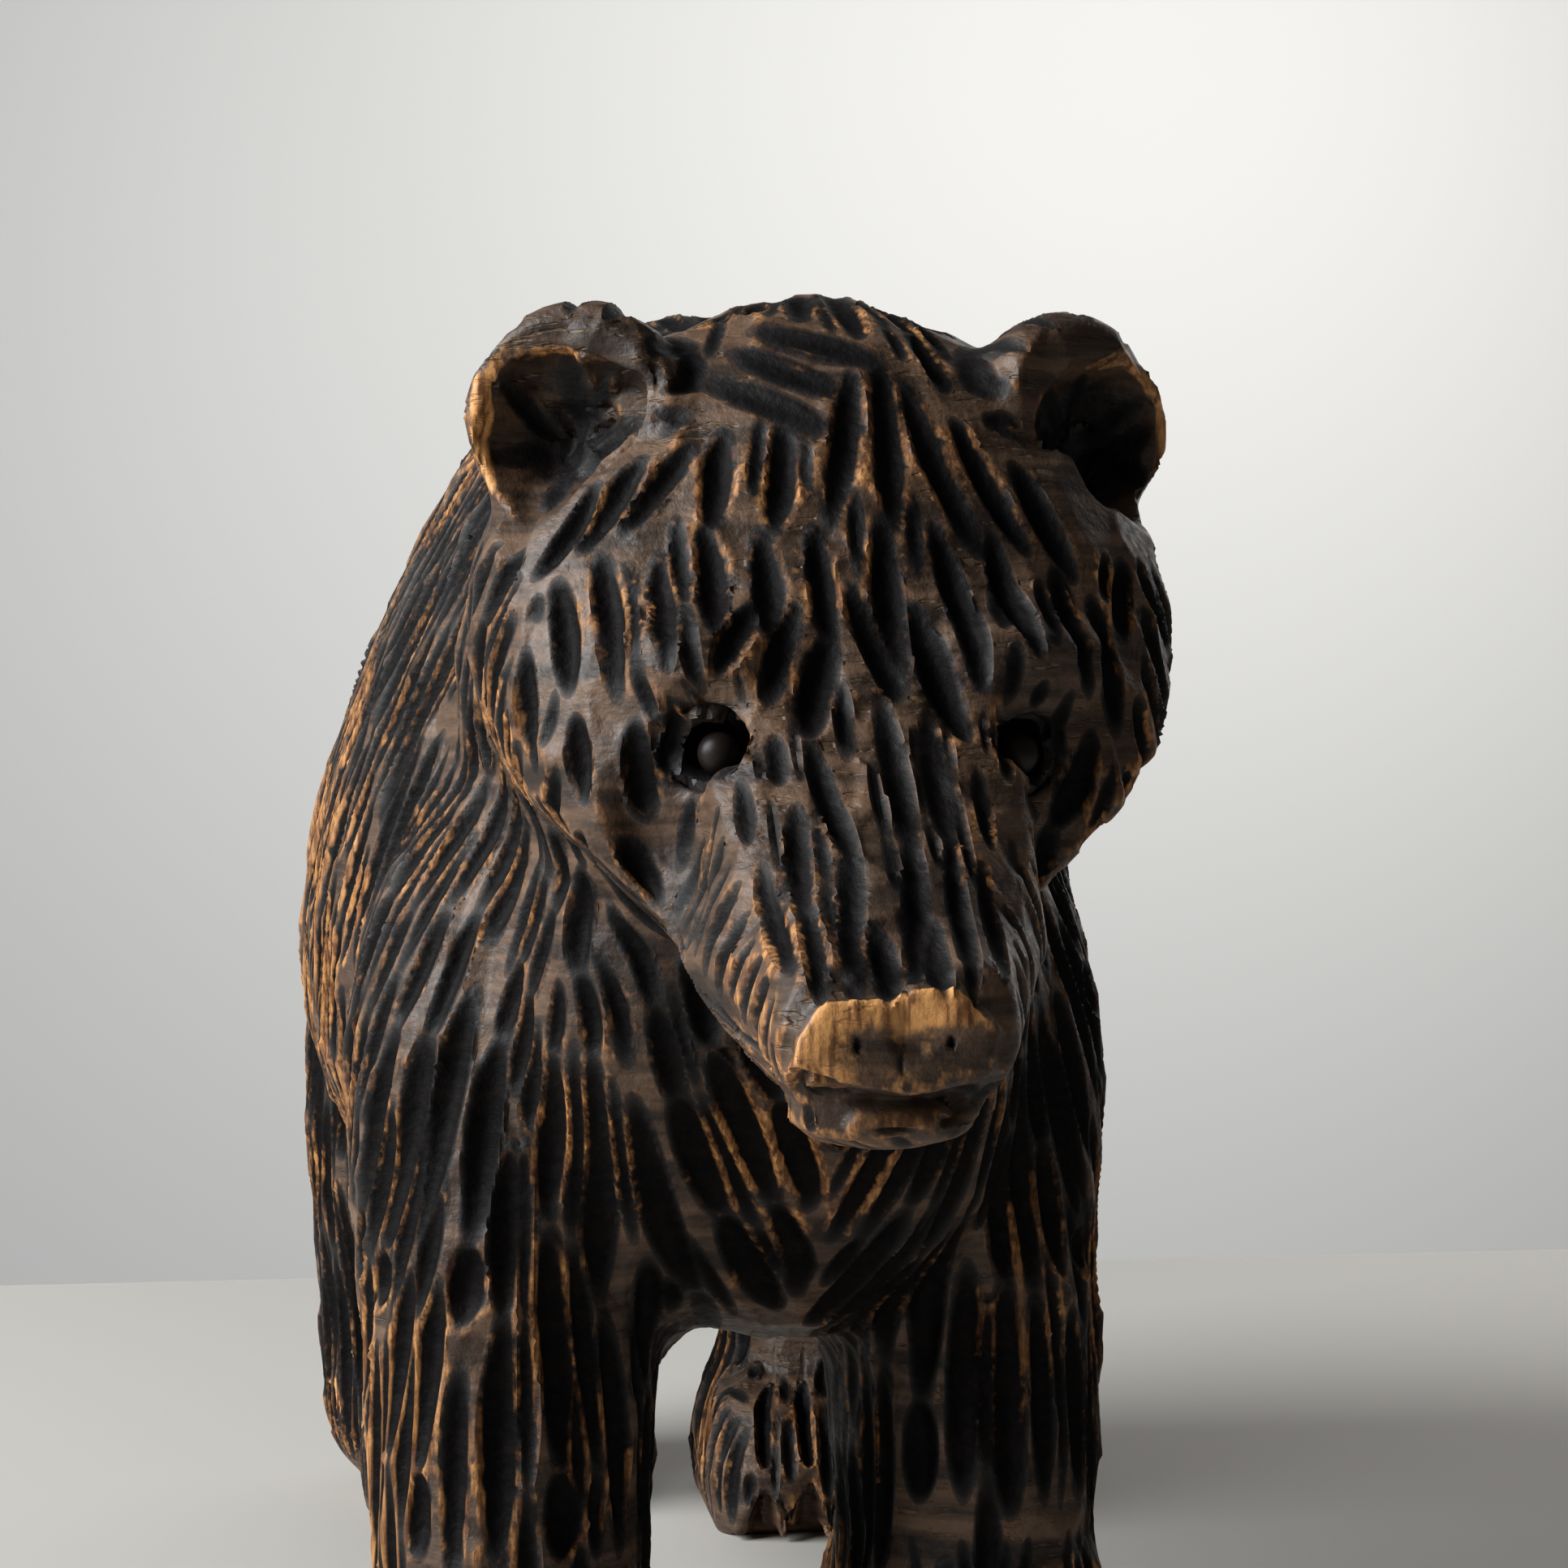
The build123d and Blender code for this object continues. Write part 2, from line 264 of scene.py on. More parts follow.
MUZZLE_CUTS = [
    ((-1.8, 111.5), (0.2, 102.0)),
    ((0.2, 103.0), (-1.8, 91.0)),
    ((4.8, 115.5), (5.4, 102.5)),
    ((5.4, 103.5), (3.0, 91.4)),
    ((8.9, 114.0), (9.2, 102.5)),
    ((9.0, 103.5), (7.8, 91.4)),
    ((-3.8, 106.0), (-4.6, 97.5)),
    ((-4.4, 98.5), (-4.6, 91.0)),
    ((-7.2, 101.0), (-6.6, 93.5)),
    ((11.5, 101.0), (10.6, 92.5)),
    ((0.9, 96.5), (0.7, 90.6)),
    ((5.6, 97.0), (5.3, 90.8)),
]

# Fine V cuts along the jaw: distance out from the middle of the head, y and z, from cheek to chin.
JAW_LINE = [
    (29.0, -80.0, 107.0),
    (22.5, -92.0, 99.0),
    (15.0, -104.0, 91.5),
    (9.5, -115.0, 85.5),
    (6.5, -124.0, 81.0),
]
JAW_LINES = 4
JAW_LINE_SPACING = 1.35

# The mouth, from the middle of the lip back to the cheek: distance out from the nose's middle, y and z.
MOUTH_LINE = [
    (0.0, -128.0, 83.0),
    (6.0, -127.0, 83.2),
    (9.3, -121.0, 84.8),
    (12.0, -113.0, 87.0),
    (15.0, -105.0, 89.5),
]
# Nostrils and the crease between them, as x and z from their middle.
NOSTRIL_OUT = 3.7
NOSTRIL_SHIFT = 0.6
NOSTRIL = [(0.0, 0.8), (-0.3, -0.8)]
NOSE_CREASE = [(-0.2, 4.0), (0.2, -4.0)]

# Paws: where each foot stands, as in the CAD model. The grooves between the toes run from the top of
# the paw down to the claws, as distance behind the paw's front, and height.
PAWS = [(-25.0, -46.0), (27.5, -30.0), (-25.0, 95.0), (25.0, 77.0)]
PAW_HALF_LENGTH = 23.0
CLAW_SPACING = 6.3
TOE_GAPS = 4
TOE_GROOVE = [(10.0, 26.0), (4.0, 18.0), (1.0, 11.0), (1.5, 5.0)]

# Wear: balls within which the edges are rubbed more than elsewhere, as centre and radius.
WEAR_EVERYWHERE = 0.3
WORN_PLACES = [
    ((-28.0, -82.0, 108.0), 15.0),
    ((-44.0, 20.0, 80.0), 60.0),
    ((-44.0, -40.0, 30.0), 40.0),
    ((2.0, -62.0, 72.0), 18.0),
    ((42.0, -34.0, 12.0), 24.0),
    ((0.0, 60.0, 168.0), 45.0),
    ((0.0, 128.0, 105.0), 40.0),
    ((44.0, 80.0, 60.0), 45.0),
]

# The share of a ball's radius within which it has its full effect.
BALL_CORE = 0.35

# Bare wood, each as where it fades in or out: on the nose along y, up, and sideways from its middle,
# and on the ears' rims by side, forwards, out from the edge of the cup, and over the ear. The last is
# a spot on the right haunch, as centre and half sizes.
NOSE_BARE_Y = (-129.8, -129.2)
NOSE_BARE_UP = (82.6, 83.4)
NOSE_TOP_BARE = (87.8, 90.3)
NOSE_SIDE_BARE = (5.0, 8.0)
EAR_RUBBED = {-1: 0.8, 1: 0.65}
INNER_RIM = 0.4
RIM_BACK = (-2.4, -1.0)
RIM_FRONT = (2.5, 3.5)
RIM_INNER_EDGE = (-0.9, -0.2)
RIM_OUTER_EDGE = (1.4, 2.4)
RIM_OUTER_SIDE = (-6.0, 1.0)
RIM_FOOT = (-9.0, -5.0)
HAUNCH_SPOT = ((-46.0, 84.0, 17.0), (7.0, 12.0, 9.0))
SPOT_CORE = 0.75

# Painted shade: the radius of blackened colour round each bead, and round the deepest place of each ear's
# cup.
EYE_SHADE = 6.0
EAR_SHADE = {-1: 6.5, 1: 10.5}
SHADE_STRENGTH = 1.6

# Stage, in metres and degrees. The lamps are place, target, size, power and colour.
FLOOR_HALF = 1.2
FLOOR_BACK = 0.29
WALL_HALF = 3.0
WALL_LOW = -1.5
WALL_HIGH = 2.5
WALL_Y = 1.5
WORLD_COLOUR = (0.75, 0.76, 0.78, 1.0)
WORLD_STRENGTH = 0.08
LAMPS = {
    "window": ((-0.88, -0.16, 0.6), (0.0, -0.04, 0.09), 0.7, 24.0, (0.93, 0.97, 1.0)),
    "rear_fill": ((0.7, 0.9, 0.5), (0.0, 0.05, 0.08), 0.8, 2.6, (1.0, 0.97, 0.94)),
    "wall_wash": ((0.5, 0.75, 0.6), (0.3, WALL_Y, 0.2), 0.8, 6.5, (1.0, 0.99, 0.97)),
}
CAMERA_PLACE = (-0.0396, -0.3575, 0.108)
CAMERA_TURN = -8.0
CAMERA_ANGLE = 30.0
CAMERA_NEAR = 0.01


def ramp(value, low, high):
    """0 below low, 1 above high, and smooth in between. Works on numbers and arrays."""
    t = np.clip((value - low) / (high - low), 0.0, 1.0)
    return t * t * (3.0 - 2.0 * t)


# --- Sculpting -------------------------------------------------------------------------------
def ear_place(side, out, up, forward):
    """A place given from an ear's middle: outwards, upwards, and forwards along its axis."""
    x, y, z = EAR
    return Vector(
        (
            HEAD_X + side * (x + out * math.cos(EAR_TURN) + forward * math.sin(EAR_TURN)),
            y + out * math.sin(EAR_TURN) - forward * math.cos(EAR_TURN),
            z + up,
        )
    )


def within_ear(side, x, y, z):
    """How far outwards, upwards and forwards places lie from the middle of an ear."""
    ear_x, ear_y, ear_z = EAR
    offset_x, offset_y = side * (x - HEAD_X) - ear_x, y - ear_y
    out = offset_x * math.cos(EAR_TURN) + offset_y * math.sin(EAR_TURN)
    forward = offset_x * math.sin(EAR_TURN) - offset_y * math.cos(EAR_TURN)
    return out, z - ear_z, forward


def beyond_sides(sides, out, up):
    """How far places lie outside an outline made of straight sides: below 0 within it."""
    return np.maximum.reduce([math.cos(a) * out + math.sin(a) * up - far for a, far in in_radians(sides)])


def in_radians(sides):
    """The sides of an outline with their directions in radians."""
    return [(math.radians(angle), distance) for angle, distance in sides]


def edge_distance(sides, angle):
    """How far the edge of an outline is from its middle in one direction."""
    return min(far / math.cos(angle - a) for a, far in in_radians(sides) if math.cos(angle - a) > 0.05)


def smooth_union(a, b, soft):
    """The larger of two fields, with the corner between them eased."""
    mix = np.clip(0.5 + 0.5 * (b - a) / soft, 0.0, 1.0)
    return a * (1.0 - mix) + b * mix + soft * mix * (1.0 - mix)


def triples(items, name, kind=np.float32):
    """One property of a mesh's points, normals or triangles, as rows of three numbers."""
    values = np.empty(len(items) * 3, kind)
    items.foreach_get(name, values)
    return values.reshape(-1, 3)


def node_triangles(name):
    """The points of a CAD node, in millimetres, and its triangles."""
    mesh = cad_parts[name].data
    mesh.calc_loop_triangles()
    return triples(mesh.vertices, "co") * MM, triples(mesh.loop_triangles, "vertices", np.int32)


def bead_centre(hand):
    """The middle of an eye's bead, in millimetres."""
    low_corner, high_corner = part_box(f"{hand}_eye_bead")
    return (low_corner + high_corner) * (MM / 2.0)


def toe_gaps(paw_x):
    """Where the gaps between a paw's toes are, across the bear."""
    return [paw_x + (number - (TOE_GAPS - 1) / 2.0) * CLAW_SPACING for number in range(TOE_GAPS)]


def blur(field, sigma):
    """A Gaussian blur of a 3-D array, one axis at a time. Sigma is in cells."""
    reach = max(1, int(math.ceil(2.5 * sigma)))
    weights = np.exp(-0.5 * (np.arange(-reach, reach + 1) / sigma) ** 2)
    weights /= weights.sum()
    for axis in range(3):
        size = field.shape[axis]
        padded = np.pad(field, [(reach, reach) if a == axis else (0, 0) for a in range(3)], mode="edge")
        total = np.zeros_like(field)
        for start, weight in enumerate(weights):
            window = [slice(None)] * 3
            window[axis] = slice(start, start + size)
            total += np.float32(weight) * padded[tuple(window)]
        field = total
    return field


def blend(field, axes, centre, half, soft, added):
    """Adds an ellipsoid to a distance field, or hollows it out, with a soft joint."""
    reach = [h + 2.0 * soft + BLEND_MARGIN for h in half]
    window = tuple(
        slice(max(0, int(np.searchsorted(a, c - r))), int(np.searchsorted(a, c + r)))
        for a, c, r in zip(axes, centre, reach)
    )
    x, y, z = np.meshgrid(*[a[w] for a, w in zip(axes, window)], indexing="ij", sparse=True)
    away = [(axis - c) / h for axis, c, h in zip((x, y, z), centre, half)]
    ball = (np.sqrt(sum(a * a for a in away)) - 1.0) * min(half)
    sign = 1.0 if added else -1.0
    old = sign * field[window]
    mix = np.clip(0.5 + 0.5 * (old - ball) / soft, 0.0, 1.0)
    field[window] = sign * (old * (1.0 - mix) + ball * mix - soft * mix * (1.0 - mix))


def melted(sharp, y, z):
    """Melts the unions most on the body, less on the head, and least on the ears, nose and paws."""
    head = ramp(-y, *HEAD_FORWARD)
    ears_and_nose = head * np.maximum(ramp(z, *EARS_UP), ramp(-y, *NOSE_FORWARD))
    fine = np.maximum(1.0 - ramp(z, *PAWS_UP), ears_and_nose)
    field = blur(sharp, BODY_MELT / VOXEL)
    field += head * (blur(sharp, FACE_MELT / VOXEL) - field)
    field += fine * (blur(sharp, EDGE_MELT / VOXEL) - field)
    field -= SWELL * (1.0 - ramp(-y, *SWELL_ENDS_FORWARD))
    return field


def with_sides_shaped(field, axes, x, y, z):
    """Carves the cup of each ear, and shapes the brow and the hollow of the cheek below it."""
    for side in (-1, 1):
        out, up, forward = within_ear(side, x, y, z)
        cup = beyond_sides(EAR_CUPS[side], out, up) + EAR_CUP_SLOPE * (EAR_RIM - forward)
        cup = np.maximum(cup, -EAR_CUP_DEPTH - forward)
        field = smooth_union(field, -cup, EAR_SOFT)
        for shape, added in ((BROW, True), (CHEEK_HOLLOW, False)):
            (out, y_mid, z_mid), half, soft = shape
            blend(field, axes, (HEAD_X + side * out, y_mid, z_mid), half, soft, added)
    return field


def with_jaw_cut(field, x, y, z):
    """Cuts the cheeks off flat below, from the neck to the muzzle."""
    front, drop = JAW_FRONT
    height = np.where(x < HEAD_X, JAW_HEIGHTS[-1], JAW_HEIGHTS[1])
    height = height - drop * np.maximum(0.0, front - y)
    jaw = math.sin(JAW_TILT) * np.abs(x - HEAD_X) - math.cos(JAW_TILT) * (z - height)
    neck_x, neck_y = NECK_FRONT
    near, far, fall = NECK_ROUND
    neck = neck_y + fall * ramp(np.abs(x - neck_x), near, far)
    jaw = -smooth_union(-jaw, y - neck, NECK_SOFT)
    return smooth_union(field, jaw, JAW_SOFT)


def with_nose(field, x, y, z):
    """Adds the nose, and trims the muzzle round it to the same outline."""
    nose_x, nose_y, nose_z = NOSE
    ends = np.maximum(nose_y - y, y - nose_y - NOSE_DEPTH)
    flare = NOSE_FLARE * np.maximum(0.0, y - nose_y)
    sides = np.full((1, 1, 1), -np.inf)
    for angle, distance in in_radians(NOSE_SIDES):
        beyond = math.cos(angle) * (x - nose_x) + math.sin(angle) * (z - nose_z) - distance
        sides = np.maximum(sides, beyond - max(0.0, math.sin(angle)) * flare)
    trim = sides - NOSE_EASE * np.maximum(ramp(y, *NOSE_TRIM_Y), 1.0 - ramp(z, *NOSE_TRIM_UP))
    return np.maximum(np.minimum(field, np.maximum(sides, ends)), trim)


def hollow_eyes_and_toes(field, axes):
    """Hollows the face round each eye, and cuts the paws in between their toes."""
    (inward, forward, up), half, soft = EYE_HOLLOW
    for hand, side in (("right", -1), ("left", 1)):
        bead = bead_centre(hand)
        blend(field, axes, (bead.x - side * inward, bead.y + forward, bead.z + up), half, soft, False)
    (across, forward, up), half, soft = TOE_GAP
    for paw_x, paw_y in PAWS:
        front = paw_y - PAW_HALF_LENGTH
        for gap_x in toe_gaps(paw_x):
            blend(field, axes, (gap_x + across, front + forward, up), half, soft, False)


def sculpted_surface():
    """Melts the CAD body's unions and shapes its ears, face, eyes and toes. Returns points in mm, and
    quads.
    """
    points, triangles = node_triangles("carved_body")
    transform = vdb.createLinearTransform(voxelSize=VOXEL)
    grid = vdb.FloatGrid.createLevelSetFromPolygons(
        points.astype(np.float64),
        triangles=triangles.astype(np.uint32),
        transform=transform,
        halfWidth=BAND_VOXELS,
    )
    low = np.floor(points.min(0) / VOXEL).astype(int) - 4
    high = np.ceil(points.max(0) / VOXEL).astype(int) + 5
    corner = tuple(int(v) for v in low)
    sharp = np.empty(tuple(high - low), np.float32)
    grid.copyToArray(sharp, ijk=corner)
    axes = [np.arange(low[a], high[a]).astype(np.float32) * VOXEL for a in range(3)]
    x, y, z = np.meshgrid(*axes, indexing="ij", sparse=True)

    field = melted(sharp, y, z)
    field = with_sides_shaped(field, axes, x, y, z)
    field = with_jaw_cut(field, x, y, z)
    field = with_nose(field, x, y, z)
    centre, half, soft = LOWER_LIP
    blend(field, axes, centre, half, soft, True)
    hollow_eyes_and_toes(field, axes)

    grid = vdb.FloatGrid(BAND_VOXELS * VOXEL)
    grid.transform = transform
    grid.copyFromArray(np.ascontiguousarray(field, dtype=np.float32), ijk=corner)
    points, quads = grid.convertToQuads(isovalue=0.0)
    return points.astype(np.float64), quads.astype(np.int64)


# --- Where the fur runs ----------------------------------------------------------------------
# Ways that the fur lies.
DOWN = Vector((0.0, 0.0, -1.0))
DOWN_AND_BACK = Vector((0.0, 0.35, -1.0))
DOWN_THE_RUMP = Vector((0.0, 0.2, -1.0))
CHEST_INWARD = 0.45
CHEST_BACK = 0.2
CHEST_SHARE = 0.8
BACK_SPREAD = 0.25
BACK_FALL = -0.15
FACE_SPREAD = 0.85
FACE_PINCH = 0.05
FACE_FORWARD = -0.9
CHEEK_SPREAD = 0.25
CHEEK_BACK = 0.55

# Where each way gives over to the next. FORWARD is along -y, and OUT is across from the head's middle.
# FACING is how far the surface faces up or sideways.
BACK_FACING_UP = (0.45, 0.85)
BACK_Y = (-70.0, -40.0)
RUMP_Y = (95.0, 120.0)
CHEST_FORWARD = (38.0, 58.0)
CHEST_UP = (46.0, 56.0)
CHEST_OUT = (9.0, 24.0)
LEG_UP = (34.0, 56.0)
FACE_ZONE_FORWARD = (60.0, 74.0)
FACE_ZONE_UP = (80.0, 90.0)
CROWN_UP = (126.0, 140.0)
CHEEK_FACING_OUT = (0.55, 0.85)
BODY_HALF_WIDTH = 40.0
HEAD_HALF_WIDTH = 30.0


class Taken:
    """Points of the cuts made so far, kept by cell so that near ones are found quickly."""

    def __init__(self, cell):
        self.cell = cell
        self.points = {}

    def key(self, p):
        return (int(p[0] // self.cell), int(p[1] // self.cell), int(p[2] // self.cell))

    def add(self, p):
        self.points.setdefault(self.key(p), []).append((p[0], p[1], p[2]))

    def near(self, p, reach):
        i, j, k = self.key(p)
        limit = reach * reach
        for a in (i - 1, i, i + 1):
            for b in (j - 1, j, j + 1):
                for c in (k - 1, k, k + 1):
                    for q in self.points.get((a, b, c), ()):
                        gap = (q[0] - p[0]) ** 2 + (q[1] - p[1]) ** 2 + (q[2] - p[2]) ** 2
                        if gap < limit:
                            return True
        return False


def fur_direction(p, normal):
    """The way the fur lies at a point of the surface, before it is laid flat on the surface."""
    across = p.x - HEAD_X
    leg = 1.0 - float(ramp(p.z, *LEG_UP))
    way = DOWN_AND_BACK.lerp(DOWN, leg)

    chest = float(ramp(-p.y, *CHEST_FORWARD)) * float(ramp(p.z, *CHEST_UP))
    chest *= 1.0 - float(ramp(abs(across), *CHEST_OUT))
    inward = Vector((-CHEST_INWARD * math.copysign(1.0, across), CHEST_BACK, -1.0))
    way = way.lerp(inward, chest * CHEST_SHARE)

    top = float(ramp(normal.z, *BACK_FACING_UP)) * float(ramp(p.y, *BACK_Y))
    along_back = Vector((BACK_SPREAD * (p.x / BODY_HALF_WIDTH), 1.0, BACK_FALL))
    way = way.lerp(along_back, top)
    way = way.lerp(DOWN_THE_RUMP, float(ramp(p.y, *RUMP_Y)))

    head = float(ramp(-p.y, *FACE_ZONE_FORWARD)) * float(ramp(p.z, *FACE_ZONE_UP))
    if head > 0.0:
        out = across / HEAD_HALF_WIDTH
        high = float(ramp(p.z, *CROWN_UP))
        face = Vector((FACE_SPREAD * out * high - FACE_PINCH * out, FACE_FORWARD, -1.0))
        cheek = Vector((CHEEK_SPREAD * out, CHEEK_BACK, -1.0))
        sideways = float(ramp(abs(normal.x), *CHEEK_FACING_OUT))
        way = way.lerp(face.lerp(cheek, sideways), head)
    return way


# How the gouge is used in one place. Spacing is between rows, length is the shortest and the longest
# scoop, and fill is the share of the scoops that are cut.
Style = namedtuple("Style", "spacing half_width depth length fill")
HEAD_STYLE = Style(4.3, 1.9, 1.5, (9.0, 15.0), 0.98)
MUZZLE_STYLE = Style(3.0, 1.1, 0.8, (7.0, 12.0), 0.9)
NECK_STYLE = Style(4.4, 2.0, 1.5, (13.0, 22.0), 1.0)
BODY_STYLE = Style(4.7, 2.35, 1.8, (17.0, 32.0), 1.0)
LEG_STYLE = Style(4.6, 2.3, 1.8, (24.0, 44.0), 1.0)
UNDER_STYLE = Style(5.5, 1.6, 0.8, (12.0, 20.0), 0.75)
PAW_STYLE = Style(3.3, 1.35, 0.9, (9.0, 16.0), 1.0)

# Borders between the styles. A FRONT is the y in front of which a style is used, a BASE the height
# above which it is, and a TOP the height below which it is.
SOLE_TOP = 5.0
SOLE_FACING = -0.3
NOSE_FRONT = -126.0
NOSE_BASE = 80.0
MUZZLE_FRONT = -100.0
MUZZLE_BASE = 76.0
HEAD_FRONT = -62.0
HEAD_BASE = 84.0
PAW_TOP = 19.0
UNDER_FACING = -0.75
LEG_TOP = 52.0
NECK_SIDE_FRONT = -44.0
NECK_SIDE_BASE = 90.0

# Round the ears the surface stays plain: within this radius of a place out from the head's middle
# and up, between two distances along y.
EAR_PLAIN_MIDDLE = (25.5, 143.0)
EAR_PLAIN_RADIUS = 13.0
EAR_PLAIN_INNER = 14.0
EAR_PLAIN_BASE = 130.0
EAR_PLAIN_Y = (-98.0, -60.0)


def beside_ear(p):
    """Whether a point is on an ear or at its foot."""
    out = abs(p.x - HEAD_X)
    if p.z <= EAR_PLAIN_BASE or out <= EAR_PLAIN_INNER:
        return False
    if not EAR_PLAIN_Y[0] < p.y < EAR_PLAIN_Y[1]:
        return False
    return math.hypot(out - EAR_PLAIN_MIDDLE[0], p.z - EAR_PLAIN_MIDDLE[1]) < EAR_PLAIN_RADIUS


def fur_style(p, normal):
    """The gouge work at a point, or None where the surface stays plain."""
    on_sole = p.z < SOLE_TOP and normal.z < SOLE_FACING
    on_nose = p.y < NOSE_FRONT and p.z > NOSE_BASE
    if on_sole or on_nose or beside_ear(p):
        return None
    if p.y < MUZZLE_FRONT and p.z > MUZZLE_BASE:
        return MUZZLE_STYLE
    if p.y < HEAD_FRONT and p.z > HEAD_BASE:
        return HEAD_STYLE
    if p.z < PAW_TOP:
        return PAW_STYLE
    if normal.z < UNDER_FACING:
        return UNDER_STYLE
    if p.z < LEG_TOP:
        return LEG_STYLE
    if p.y < NECK_SIDE_FRONT and p.z > NECK_SIDE_BASE:
        return NECK_STYLE
    return BODY_STYLE


class Scoop:
    """One cut: a line on the surface, the half width and depth of its middle, and how blunt it ends.

    The normals are the surface's, at all points of the line but its last.
    """

    def __init__(self, line, half_width, depth, blunt):
        self.line = np.array([tuple(p) for p in line], np.float64)
        self.half_width = half_width
        self.depth = depth
        self.blunt = blunt
        self.normals = None


def resampled(line, count):
    """The same line as evenly spaced points."""
    line = np.array([tuple(p) for p in line], np.float64)
    run = np.concatenate([[0.0], np.cumsum(np.linalg.norm(np.diff(line, axis=0), axis=1))])
    where = np.linspace(0.0, run[-1], count)
    return np.stack([np.interp(where, run, line[:, a]) for a in range(3)], axis=1)


class Carver:
    """Lays cuts on the sculpted surface."""

    def __init__(self, points, quads):
        self.points = points
        self.tree = BVHTree.FromPolygons([tuple(p) for p in points], [tuple(q) for q in quads.tolist()])
        self.scoops = []
        self.taken = Taken(TAKEN_CELL)

    def onto(self, p):
        """The nearest point of the surface, and its normal."""
        place, normal, _, _ = self.tree.find_nearest(Vector(p))
        return place, normal

    def from_front(self, x, z):
        """The point of the surface that is met from the front of the bear at that place."""
        place, _, _, _ = self.tree.ray_cast(Vector((x, -BEFORE_BEAR, z)), Vector((0.0, 1.0, 0.0)))
        return place

    def add(self, line, half_width, depth, blunt, clear=True):
        """Adds a cut whose line is first laid on the surface. The fur may have to keep clear of it."""
        line = [self.onto(p)[0] for p in resampled(line, max(LINE_LEAST, len(line)))]
        self.scoops.append(Scoop(line, half_width, depth, blunt))
        if clear:
            for p in resampled(line, CLEAR_POINTS):
                self.taken.add(p)

    def front_cuts(self, cuts, tool):
        """Cuts given by their two ends, as seen from the front."""
        half_width, depth, blunt = tool
        for (x0, z0), (x1, z1) in cuts:
            bow = chance.uniform(*BOW)
            line = [
                self.from_front(x0 + (x1 - x0) * t + bow * math.sin(math.pi * t), z0 + (z1 - z0) * t)
                for t in FRONT_CUT_STEPS
            ]
            if None not in line:
                width = half_width * chance.uniform(*FRONT_WIDTH_VARIES)
                self.add(line, width, depth * chance.uniform(*FRONT_DEPTH_VARIES), blunt)

    def trace(self, start, sense, gap, most):
        """Follows the fur from a point until it comes near another cut or to a plain place."""
        line = []
        place, normal = self.onto(start)
        for _ in range(most):
            way = fur_direction(place, normal)
            way = way - normal * way.dot(normal)
            if way.length < WAY_LEAST:
                break
            place, normal = self.onto(place + way.normalized() * sense * STEP)
            if fur_style(place, normal) is None or self.taken.near(place, gap):
                break
            line.append(place)
        return line

    def fur(self, starts, squeeze):
        """Fills the surface with rows of gouge scoops. Each row offers starts on both sides.

        A squeeze below 1 makes narrower scoops that fit between rows cut before.
        """
        waiting = deque()
        starts = iter(starts)
        while True:
            start = waiting.popleft() if waiting else next(starts, None)
            if start is None:
                break
            place, normal = self.onto(start)
            style = fur_style(place, normal)
            if style is None or self.taken.near(place, ROW_GAP * squeeze * style.spacing):
                continue
            end_gap = ROW_END_GAP * squeeze * style.spacing
            before = self.trace(place, -1.0, end_gap, ROW_STEPS)
            after = self.trace(place, 1.0, end_gap, ROW_STEPS)
            line = before[::-1] + [place] + after
            if len(line) < LINE_LEAST:
                continue
            for p in line:
                self.taken.add(p)
            self.row_of_scoops(line, squeeze)
            for number in range(2, len(line) - 1, OFFER_EVERY):
                place, normal = self.onto(line[number])
                aside = normal.cross(line[number + 1] - line[number - 1]).normalized()
                for side in (-1.0, 1.0):
                    waiting.append(place + aside * side * style.spacing)

    def row_of_scoops(self, line, squeeze):
        """Cuts a row into scoops that meet in narrow necks."""
        at = 0.0
        last = len(line) - 1
        short, each_step = SHORT_SCOOP
        while at < last - 2:
            place = line[int(at)]
            style = fur_style(place, self.onto(place)[1])
            if style is None:
                break
            end = min(at + chance.uniform(*style.length), last)
            if last - end < LINE_LEAST:
                end = last
            if chance.random() < style.fill:
                part = line[int(at): int(end) + 1]
                size = squeeze * chance.uniform(*SCOOP_SIZE_VARIES)
                size *= min(1.0, short + each_step * len(part))
                blunt = chance.uniform(*SCOOP_BLUNT)
                cut = resampled(part, SCOOP_POINTS)
                self.scoops.append(Scoop(cut, style.half_width * size, style.depth * size, blunt))
            at = end - chance.uniform(*SCOOP_OVERLAP)
            if end >= last:
                break


class Facet:
    """One flat cut of the knife: a plane a little under the surface, within an oval."""

    def __init__(self, centre, normal, along, half_length, half_width, bite):
        self.centre = np.array(centre)
        self.normal = np.array(normal)
        self.along = np.array(along)
        self.across = np.cross(self.normal, self.along)
        self.half_length = half_length
        self.half_width = half_width
        self.bite = bite


def knife_facets(carver, starts):
    """The knife's flat facets, which lie under the gouge work."""
    facets = []
    taken = Taken(TAKEN_CELL)
    for start in starts:
        place, normal = carver.onto(start)
        on_sole = place.z < FACET_SOLE_TOP and normal.z < SOLE_FACING
        if on_sole or taken.near(place, FACET_GAP):
            continue
        taken.add(place)
        way = fur_direction(place, normal)
        way = way - normal * way.dot(normal)
        if way.length < FACET_WAY_LEAST:
            continue
        way.normalize()
        aside = normal.cross(way)
        tilted = normal + way * chance.uniform(*FACET_TILT_ALONG)
        tilted = (tilted + aside * chance.uniform(*FACET_TILT_ACROSS)).normalized()
        way = (way + aside * chance.uniform(*FACET_TURN)).normalized()
        way = (way - tilted * way.dot(tilted)).normalized()
        on_paw = place.z < PAWS_UP[1]
        on_muzzle = place.y < MUZZLE_FRONT and place.z > MUZZLE_BASE
        size = FACET_SMALL if on_paw or on_muzzle else 1.0
        spans = (FACET_HALF_LENGTH, FACET_HALF_WIDTH, FACET_BITE)
        facets.append(Facet(place, tilted, way, *[size * chance.uniform(*span) for span in spans]))
    return facets


